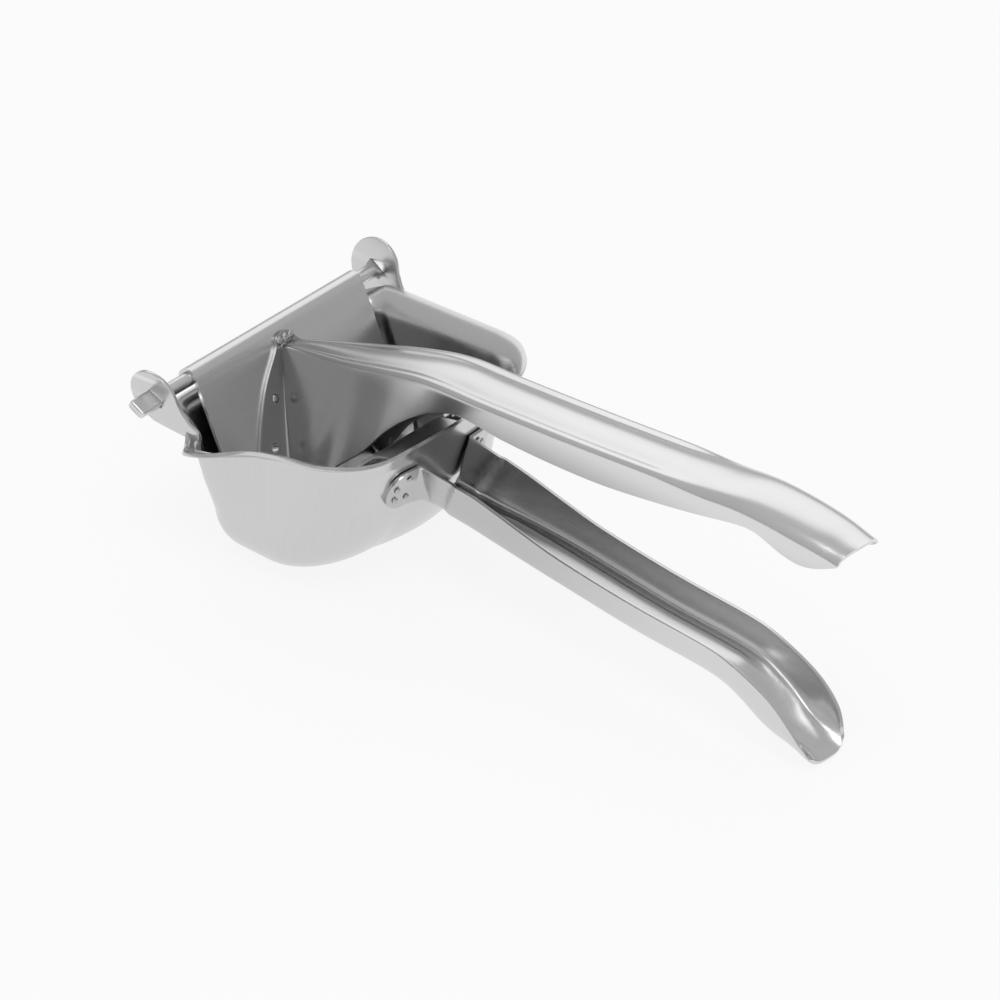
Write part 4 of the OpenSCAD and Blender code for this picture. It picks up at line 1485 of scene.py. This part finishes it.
@dataclass
class LowerHandle:
    """The open trough with its two tabs. Lengths are in millimetres."""

    stand: Standing
    bowl: Bowl
    sheet: float = 1.0
    half: float = 9.3
    root_half: float = 10.2
    root_shift: float = -1.5
    root_end: float = 1.5
    bead: float = 1.2
    rim: Points = (
        (61.5, -12), (70, -13.6), (78, -15.5), (92, -20), (104, -23.4), (126, -27.4), (150, -30.4),
        (159, -32.8), (168, -36.9), (174, -40.9), (179, -46.4), (181.3, -51.4),
    )
    floor: Points = (
        (60.5, -24.3), (70, -25.6), (78, -26.9), (92, -29.3), (107, -32.2), (127, -35.8), (147, -38.2),
        (156, -40.2), (163, -44), (170, -48.9), (177, -52.3), (183, -55.2),
    )
    half_share: Points = ((0, 1), (9, 1), (10, 0.955), (11, 0.774))
    section: Points = (
        (1, 0), (0.98, 0.25), (0.95, 0.5), (0.91, 0.75), (0.86, 0.9), (0.77, 0.975), (0.64, 1), (0.5, 1),
    )
    lean: tuple[float, ...] = (0, 0.07, 0.13, 0.18, 0.2, 0.2, 0.17, 0.12)
    bead_section: Points = ((0.36, 0.45), (0.28, 1), (0, 1))
    tip_section: Points = (
        (1, 0), (0.97, 0.25), (0.9, 0.5), (0.76, 0.73), (0.63, 0.86), (0.48, 0.95), (0.34, 0.99), (0.24, 1),
        (0.16, 1), (0.09, 1), (0, 1),
    )
    tip_from: float = 8.2
    recess_depth: float = 0.6
    recess_from: float = 0.95
    recess_bow: float = 0.5
    recess_width: float = 0.22
    tab_out: float = 18.8
    tab_top: float = -11.8
    tab_foot: float = -22.6
    tab_round: float = 3.4
    tab_columns: int = 4
    tab_steps: int = 8
    tab_lift: float = 0.3
    root_gap: float = 0.15
    steps: int = 40
    root_steps: int = 22
    welds: Points = ((12.8, -14), (16.2, -16.4), (12.6, -20), (16.4, -19.6))
    weld_lift: float = 0.25

    @property
    def half_count(self) -> int:
        """Number of points in half a section."""
        return len(self.section) + len(self.bead_section)

    def recess(self, k: int, s: float) -> float:
        """How far point k of the section at s lies inside the wider pressing past the root."""
        front = self.recess_from - self.recess_bow * math.sin(math.pi * k / (self.half_count - 1))
        return self.recess_depth * (smooth((s - front) / self.recess_width) - 1)

    def row(self, s: float) -> list[Triple]:
        """One section of the trough.

        Args:
            s: place along its length, counted in points of its rim.

        Returns:
            Points from rim to rim.
        """
        (top_x, top_z), (low_x, low_z) = path(self.rim, s), path(self.floor, s)
        # The root narrows, the walls lean in and the bead dies out over the first or last few rim points.
        w = lerp(self.root_half, self.half, smooth(s / 2)) * curve(self.half_share, s)
        top, drop = np.array([top_x, 0, top_z]), np.array([low_x - top_x, 0, low_z - top_z])
        up = -unit(drop)
        bead = self.bead * smooth((s - 1.4) / 0.8) * smooth((self.tip_from - s) / 2)
        slant = 1 - smooth(s / 3.5)
        half = []
        for k, (share, depth) in enumerate(self.section):
            p = top + drop * depth
            half.append(np.array([p[0], w * (share - slant * self.lean[k]), p[2]]))
        for share, height in self.bead_section:
            p = top + drop + up * bead * height
            half.append(np.array([p[0], w * share, p[2]]))
        tip = smooth((s - self.tip_from) / 2.3)
        for k, (share, depth) in enumerate(self.tip_section):
            half[k] = lerp(half[k], top + drop * depth + np.array([0, w * share, 0]), tip)
            # The pressing goes sideways in the walls and down in the floor.
            turn = math.pi / 2 * smooth((k - 2) / 4)
            side = math.cos(turn) if k < self.half_count - 1 else 0.0
            half[k] = half[k] + self.recess(k, s) * (np.array([0, side, 0]) - up * math.sin(turn))
        across = self.root_shift * (1 - smooth(s / 5))
        return [(x, y + across, z) for x, y, z in UpperHandle.full(half)]

    def against_bowl(self, y: float, z: float) -> Triple:
        """A place on the tabs' middle surface."""
        return (self.bowl.end_wall(y, z) + self.tab_lift + self.sheet / 2, y, z)

    def tab_row(self, t: float) -> list[Triple]:
        """One column of points down both tabs.

        Args:
            t: 1 at the tabs' outer ends, 0 at the trough.

        Returns:
            The points, in the order of the trough's.
        """
        y = lerp(self.root_half - self.recess_depth, self.tab_out, t)
        trim = self.tab_round * (1 - math.sqrt(1 - max(0, (t - 0.5) / 0.5) ** 2 * 0.98))
        shares = [min(1, i / self.tab_columns) for i in range(self.half_count)]
        half = [(0, y, lerp(self.tab_top - trim, self.tab_foot + trim, share)) for share in shares]
        return [self.against_bowl(q + self.root_shift, z) for _, q, z in UpperHandle.full(half)]

    def root_row(self) -> list[Triple]:
        """Bends the trough's first section onto the bowl.

        Returns:
            The row's points.
        """
        front = []
        for j, (_, y, z) in enumerate(self.row(0)):
            i = min(j, 2 * self.half_count - 2 - j)
            level = z if i > self.tab_columns else lerp(self.tab_top, self.tab_foot, i / self.tab_columns)
            x, y, z = self.against_bowl(y, level)
            front.append((x + self.root_gap * smooth((i - self.tab_columns - 2) / 4), y, z))
        return front

    def grid(self) -> np.ndarray:
        """Works out the middle surface.

        Returns:
            Rows of points from the tabs' outer ends to the handle's tip.
        """
        rows = [self.tab_row(1 - k / self.tab_steps) for k in range(self.tab_steps)] + [self.root_row()]
        places = [self.root_end * k / self.root_steps for k in range(1, self.root_steps)]
        places += [lerp(self.root_end, len(self.rim) - 1, k / self.steps) for k in range(self.steps + 1)]
        return np.array(rows + [self.row(s) for s in places])

    def build(self) -> bpy.types.Object:
        """Makes the trough and its tabs.

        Returns:
            One piece.
        """
        grid = self.grid()
        columns = grid.shape[1]

        def has(i: int, j: int) -> bool:
            """Before the trough only the tabs are there."""
            return i >= self.tab_steps or j < self.tab_columns or j >= columns - 1 - self.tab_columns

        return Sheet("lower_handle_steel", grid, self.sheet, has=has).build(self.stand)

    def weld_places(self) -> WeldPlaces:
        """Finds the spot welds on the tabs.

        Returns:
            Foot and direction of each weld, in the maker's frame.
        """
        places, wall = [], self.bowl.end_wall
        for side in (-1, 1):
            for y, z in self.welds:
                y = side * y + self.root_shift
                across, down = wall(y - 0.5, z) - wall(y + 0.5, z), wall(y, z - 0.5) - wall(y, z + 0.5)
                n = unit(np.array([1, across, down]))
                places.append((np.array(self.against_bowl(y, z)) + n * (self.sheet / 2 + self.weld_lift), n))
        return places


# Welds and strainer


def weld_tree() -> PieceTree:
    """Low rounded nuggets of weld metal on every vertex, standing along its direction.

    Returns:
        The tree, with the nuggets' sizes, unevenness and seed as inputs.
    """
    t = PieceTree("weld_nuggets", {"Radius": 0.0013, "Height": 0.0006, "Uneven": 0.3, "Seed": 5})
    radius, uneven = t.entry["Radius"], t.entry["Uneven"]
    ball = t.out("GeometryNodeMeshUVSphere", {"Segments": 24, "Rings": 12, "Radius": radius})
    rough = t.out("ShaderNodeTexNoise", {"Scale": 1400, "Detail": 2})
    push = t.maths("MULTIPLY", t.maths("SUBTRACT", rough, 0.5), t.maths("MULTIPLY", radius, 0.7))
    normal = t.out("GeometryNodeInputNormal")
    outward = t.out("ShaderNodeVectorMath", {0: normal, "Scale": push}, operation="SCALE")
    knead = t.out("GeometryNodeSetPosition", {"Geometry": ball, "Offset": outward})
    soft = t.out("GeometryNodeSetShadeSmooth", {"Geometry": knead})
    stored = t.out("GeometryNodeInputNamedAttribute", {"Name": "direction"}, data_type="FLOAT_VECTOR")
    turn = t.out("FunctionNodeAlignRotationToVector", {"Vector": stored}, axis="Z")
    chance = {2: t.maths("SUBTRACT", 1.0, uneven), 3: t.maths("ADD", 1.0, uneven), "Seed": t.entry["Seed"]}
    across = t.node("FunctionNodeRandomValue", chance, data_type="FLOAT").outputs[1]
    flat = t.maths("DIVIDE", t.entry["Height"], radius)
    scale = t.vector(across, 1.0, t.maths("MULTIPLY", flat, across))
    nuggets = {"Points": t.entry["Geometry"], "Instance": soft, "Rotation": turn, "Scale": scale}
    t.close(t.out("GeometryNodeInstanceOnPoints", nuggets))
    return t


def weld_points(name: str, stand: Standing, places: WeldPlaces) -> bpy.types.Object:
    """Loose vertices with a direction, on which the weld tree puts its nuggets.

    Args:
        name: of the piece.
        stand: places them in the row frame.
        places: foot and direction of each weld, in the maker's frame.

    Returns:
        A mesh of points.
    """
    feet = stand.place(np.array([p for p, _ in places]))
    tips = stand.place(np.array([p + n for p, n in places]))
    piece = mesh_piece(name, feet, [])
    store = piece.data.attributes.new("direction", "FLOAT_VECTOR", "POINT")
    for k, (foot, tip) in enumerate(zip(feet, tips)):
        store.data[k].vector = unit(tip - foot)
    return piece


@dataclass
class Strainer:
    """The loose perforated sheet. Lengths are in millimetres."""

    stand: Standing
    bowl: Bowl
    sheet: float = 0.8
    juice_gap: float = 3.3
    seat_clear: float = 0.3
    arc_low: float = -63.0
    arc_high: float = -24.5
    tab_rise: Points = ((4.4, 4.9), (7.9, 5.7), (13, 6.5))
    tab_height: float = 6.9
    tab_w: float = 25.0
    hole_d: float = 2.6
    pitch: float = 5.4
    first_row: float = 2.2
    rows: int = 6
    columns: int = 10
    punch_past: float = 4.0
    side_cuts: tuple[float, ...] = (11.3, 6.3, 5.1, 3.1, 2.3, 4.3)
    tail_end: tuple[float, float] = (3.0, 3.0)
    tail_shares: tuple[float, ...] = (0, 0.12, 0.3, 0.55, 0.78)
    edge_share: float = 0.985
    across_steps: int = 20
    arc_steps: int = 18

    @property
    def inner_r(self) -> float:
        """Inner radius of the arc about the rod, at which its low end clears the base by the juice gap."""
        clear = self.bowl.depth - self.bowl.sheet - self.juice_gap
        return clear / -math.sin(math.radians(self.arc_low)) - self.sheet

    def on_arc(self, degrees: float) -> np.ndarray:
        """X and Z of the sheet's middle surface at an angle about the rod."""
        a = math.radians(degrees)
        return (self.inner_r + self.sheet / 2) * np.array([math.cos(a), math.sin(a)])

    @property
    def across(self) -> list[float]:
        """Places of the columns across the sheet, as shares of its half width."""
        even = [lerp(-1, 1, k / self.across_steps) for k in range(self.across_steps + 1)]
        return sorted({*even, -self.tab_share, self.tab_share, self.edge_share, -self.edge_share})

    @property
    def half_front(self) -> float:
        """Half width at the front of the arc."""
        return self.bowl.wall_high - self.side_cuts[4]

    @property
    def tab_share(self) -> float:
        """Half width of the tab as a share of the sheet's."""
        return self.tab_w / 2 / self.half_front

    def row(self, x: float, z: float) -> list[Triple]:
        """One row of the tail or the arc.

        Args:
            x: its place.
            z: its height.

        Returns:
            The row's points.
        """
        back, foot, head = self.bowl.back_low, self.on_arc(self.arc_low)[0], self.on_arc(self.arc_high)[0]
        places = (back + 2.5, back + 8, foot + 2, (foot + head) / 2 + 2, head - 1, head + 0.6)
        half = float(np.interp(x, places, [self.bowl.wall_high - cut for cut in self.side_cuts]))
        return [(x, s * half, z) for s in self.across]

    def grid(self) -> tuple[np.ndarray, int]:
        """The unpierced sheet.

        Returns:
            The grid of the middle surface, and the row at which the tab begins.
        """
        foot, head = self.on_arc(self.arc_low), self.on_arc(self.arc_high)
        tail = np.array([self.bowl.back_low + self.tail_end[0], foot[1] + self.tail_end[1]])
        rows = [self.row(*(tail + (foot - tail) * t)) for t in self.tail_shares]
        for k in range(self.arc_steps + 1):
            rows.append(self.row(*self.on_arc(lerp(self.arc_low, self.arc_high, k / self.arc_steps))))
        begin = len(rows) - 1
        sides = [s * self.half_front for s in self.across]
        rows += [[(head[0] + x, y, head[1] + z) for y in sides] for x, z in self.tab_rise]
        last, level = [], head[1] + self.tab_height
        for y in sides:
            end = self.bowl.end_wall(min(abs(y), self.tab_w / 2), level) - self.bowl.sheet - self.seat_clear
            last.append((end, y, level))
        middle = (np.array(rows[-1]) + np.array(last)) / 2
        return np.array([*rows, middle, last]), begin

    def build(self, material: bpy.types.Material) -> bpy.types.Object:
        """The sheet with its holes.

        Args:
            material: that the perforating tree gives the sheet.

        Returns:
            The finished strainer.
        """
        grid, begin = self.grid()
        across = self.across

        def has(i: int, j: int) -> bool:
            """Past the arc only the tab is there."""
            return i < begin or abs(across[j] + across[j + 1]) / 2 < self.tab_share

        piece = Sheet("strainer_steel", grid, self.sheet, has=has, levels=1).build(self.stand)
        sizes = {
            "Hole Radius": self.hole_d / 2 * MM,
            "Pitch": self.pitch * MM,
            "Arc Radius": self.inner_r * MM,
            "First Angle": math.radians(self.arc_low + self.first_row + self.stand.tilt),
            "Depth": (self.punch_past + self.sheet) * MM,
            "Rows": self.rows,
            "Columns": self.columns,
            "Centre X": self.stand.rod[0],
            "Centre Z": self.stand.rod[2],
        }
        return self.pierce_tree().run(piece, sizes, material)

    def pierce_tree(self) -> PieceTree:
        """Staggered rows of round holes, cut square to an arc about the rod.

        Returns:
            The tree, with the sizes of the pattern as inputs.
        """
        lengths = ("Hole Radius", "Pitch", "Arc Radius", "First Angle", "Depth", "Centre X", "Centre Z")
        t = PieceTree("juice_holes", {**dict.fromkeys(lengths, 0.001), "Rows": 6, "Columns": 10})
        columns, radius, pitch = (t.entry[name] for name in ("Columns", "Arc Radius", "Pitch"))
        points = t.out("GeometryNodePoints", {"Count": t.maths("MULTIPLY", t.entry["Rows"], columns)})
        index = t.out("GeometryNodeInputIndex")
        row, column = t.maths("FLOOR", t.maths("DIVIDE", index, columns)), t.maths("MODULO", index, columns)
        middle = t.maths("MULTIPLY", t.maths("SUBTRACT", columns, 1.0), 0.5)
        stagger = t.maths("MULTIPLY", t.maths("SUBTRACT", t.maths("MODULO", row, 2.0), 0.5), 0.5)
        y = t.maths("MULTIPLY", t.maths("ADD", t.maths("SUBTRACT", column, middle), stagger), pitch)
        angle = t.maths("MULTIPLY_ADD", row, t.maths("DIVIDE", pitch, radius), t.entry["First Angle"])
        c, s = t.maths("COSINE", angle), t.maths("SINE", angle)
        x = t.maths("MULTIPLY_ADD", c, radius, t.entry["Centre X"])
        z = t.maths("MULTIPLY_ADD", s, radius, t.entry["Centre Z"])
        moved = t.out("GeometryNodeSetPosition", {"Geometry": points, "Position": t.vector(x, y, z)})
        size = {"Vertices": 32, "Radius": t.entry["Hole Radius"], "Depth": t.entry["Depth"]}
        punch = t.out("GeometryNodeMeshCylinder", size)
        turn = t.out("FunctionNodeAlignRotationToVector", {"Vector": t.vector(c, 0.0, s)}, axis="Z")
        pattern = {"Points": moved, "Instance": punch, "Rotation": turn}
        real = t.out("GeometryNodeRealizeInstances", {0: t.out("GeometryNodeInstanceOnPoints", pattern)})
        t.close(t.out("GeometryNodeMeshBoolean", {0: t.entry["Geometry"], 1: real}, operation="DIFFERENCE"))
        return t


# Studio


@dataclass
class Studio:
    """Floor, light and camera. The walls are greys by height: the two ends, then the stops between them."""

    centre: Triple
    image_centre: tuple[float, float] = (500.0, 500.0)
    rod_pixel: tuple[float, float] = (265.25, 331.83)
    pixels_per_mm: float = 4.0
    distance: float = 9.0
    image: int = 1000
    sensor: float = 36.0
    clip: tuple[float, float] = (0.1, 60.0)
    floor_half: float = 6.0
    floor_white: float = 0.85
    walls: Points = ((0.0, 0.34), (1.0, 0.56), (0.2, 0.52), (0.45, 0.54))
    right: Triple = (3.063, 2.56, 0.236)
    down: Triple = (1.542, -1.536, -3.356)

    def camera(self, rod: Triple) -> None:
        """Puts the camera where it sees the press as the photograph does.

        Args:
            rod: the rod's axis in the row frame, in metres.
        """
        right, down = Vector(self.right).normalized(), Vector(self.down)
        down = (down - right * down.dot(right)).normalized()
        back = right.cross(-down)
        shift = [(c - p) / self.pixels_per_mm * MM for c, p in zip(self.image_centre, self.rod_pixel)]
        target = Vector(rod) + right * shift[0] + down * shift[1]
        target += back * back.dot(Vector(self.centre) - target)
        data = bpy.data.cameras.new("camera")
        data.sensor_width = self.sensor
        data.lens = self.sensor * self.distance / (self.image / self.pixels_per_mm * MM)
        data.clip_start, data.clip_end = self.clip
        camera = link("camera", data)
        turn = Matrix((right, -down, back)).transposed().to_4x4()
        camera.matrix_world = Matrix.Translation(target + back * self.distance) @ turn
        bpy.context.scene.camera = camera

    def area(self, name: str, place: Triple, size: tuple[float, float], watts: float) -> None:
        """Adds a soft rectangular lamp that faces the press.

        Args:
            name: of the lamp.
            place: in metres from the press.
            size: its two sides, in metres.
            watts: its power.
        """
        data = bpy.data.lights.new(name, "AREA")
        data.shape = "RECTANGLE"
        data.size, data.size_y = size
        data.energy = watts
        lamp = link(name, data)
        spot = Vector(self.centre) + Vector(place)
        lamp.location = spot
        lamp.rotation_euler = (Vector(self.centre) - spot).to_track_quat("-Z", "Y").to_euler()

    def floor(self) -> None:
        """Plain white floor that keeps a faint shadow."""
        corners = np.array([(x, y, 0) for x, y in ((-1, -1), (1, -1), (1, 1), (-1, 1))]) * self.floor_half
        floor = mesh_piece("floor", corners, [(0, 1, 2, 3)])
        pale = bpy.data.materials.new("pale_floor")
        pale.use_nodes = True
        t = Tree(pale.node_tree)
        shader = t.tree.nodes["Principled BSDF"]
        looks = {"Base Color": (0.96, 0.96, 0.96, 1), "Roughness": 0.9, "Specular IOR Level": 0.0}
        for name, value in looks.items():
            shader.inputs[name].default_value = value
        seen = t.node("ShaderNodeLightPath").outputs
        either = t.maths("MAXIMUM", seen["Is Camera Ray"], seen["Is Glossy Ray"])
        either = t.maths("MAXIMUM", either, seen["Is Transmission Ray"])
        share = t.maths("MULTIPLY", either, self.floor_white)
        mix = t.out("ShaderNodeMixShader", {0: share, 1: shader.outputs[0], 2: t.out("ShaderNodeEmission")})
        t.wire(mix, t.tree.nodes["Material Output"].inputs["Surface"])
        floor.data.materials.append(pale)
        floor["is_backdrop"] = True

    def world(self) -> None:
        """Grey studio walls that brighten upwards, white where the camera looks past the floor."""
        world = bpy.data.worlds.new("studio")
        bpy.context.scene.world = world
        world.use_nodes = True
        t = Tree(world.node_tree)
        way = t.node("ShaderNodeTexCoord").outputs["Generated"]
        ramp = t.node("ShaderNodeValToRGB", {"Fac": t.node("ShaderNodeSeparateXYZ", {0: way}).outputs["Z"]})
        stops = ramp.color_ramp.elements
        for k, (place, level) in enumerate(self.walls):
            stop = stops[k] if k < 2 else stops.new(place)
            stop.position, stop.color = place, (level, level, level, 1)
        seen = t.node("ShaderNodeLightPath").outputs["Is Camera Ray"]
        t.wire(t.blend(seen, ramp.outputs["Color"], (1, 1, 1, 1)), t.tree.nodes["Background"].inputs["Color"])

    def build(self, rod: Triple) -> None:
        """Makes floor, world, lamps and camera.

        Args:
            rod: the rod's axis in the row frame, in metres.
        """
        self.world()
        self.floor()
        self.area("key", (-0.9, 1.0, 1.0), (1.6, 1.1), 3.6)
        self.area("near", (0.8, -1.0, 0.9), (1.2, 1.2), 1.6)
        self.area("fill", (0.3, -0.4, 1.7), (0.8, 0.8), 6)
        self.camera(rod)
        bpy.context.scene.view_settings.view_transform = "Standard"


def dress(piece: bpy.types.Object, material: bpy.types.Material, body: Body, slot: Slot, *nodes: str) -> None:
    """Gives a piece its material and body, and hides the nodes it stands for.

    Args:
        piece: finished piece.
        material: its finish.
        body: on which it rides.
        slot: of the record; not used.
        nodes: CAD nodes that it replaces.
    """
    piece.data.materials.clear()
    piece.data.materials.append(material)
    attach(piece, body.value)
    if nodes:
        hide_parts(*nodes)
    log.info("%s rides on %s, %d faces", piece.name, body.value, len(piece.data.polygons))


def main() -> None:
    """Builds the dressed press."""
    logging.basicConfig(level=logging.INFO, format="%(name)s: %(message)s")
    for thing in list(bpy.data.objects):
        bpy.data.objects.remove(thing)
    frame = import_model()
    cad_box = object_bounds()
    rod = tuple(frame["joints"][0]["pos_m"])
    stand = Standing(rod)
    grain, wear = grain_group(), wear_group()
    handle, trough, drawn, rolled, satin, strainer_with_painted_light, seam = (
        finish.material(grain, wear) for finish in (HANDLE, TROUGH, DRAWN, ROLLED, ROD, PAINTED_LIGHT_STRAINER, WELD)
    )

    bowl = Bowl(stand)
    dress(bowl.build(), drawn, Body.BASE, Slot.STEEL, "bowl")
    dress(PivotRod(stand).build(), satin, Body.BASE, Slot.STEEL_DARK, "pivot_rod")
    strainer = Strainer(stand, bowl)
    plate = PressPlate(stand, strainer.inner_r - SWEEP_GAP)
    dress(plate.build(), rolled, Body.ARM, Slot.STEEL, "press_plate")
    upper = UpperHandle(stand, plate)
    dress(upper.build(), handle, Body.ARM, Slot.STEEL, "upper_handle")
    lower = LowerHandle(stand, bowl)
    dress(lower.build(), trough, Body.BASE, Slot.STEEL, "lower_handle")
    # The strainer wears the steel painted lighter, as painted light on a shaded part.
    dress(strainer.build(strainer_with_painted_light), strainer_with_painted_light, Body.BASE, Slot.STEEL_DARK, "strainer")

    welds = weld_tree()
    tab_points = weld_points("tab_welds", stand, lower.weld_places())
    tab_welds = welds.run(tab_points, TAB_NUGGET, seam)
    dress(tab_welds, seam, Body.BASE, Slot.WELD, "handle_welds")
    arm_points = weld_points("arm_welds", stand, upper.weld_places())
    arm_welds = welds.run(arm_points, ARM_NUGGET, seam)
    dress(arm_welds, seam, Body.ARM, Slot.WELD, "plate_welds")

    low, high = cad_box
    Studio(tuple((low + high) / 2)).build(rod)


if __name__ == "__main__":
    main()
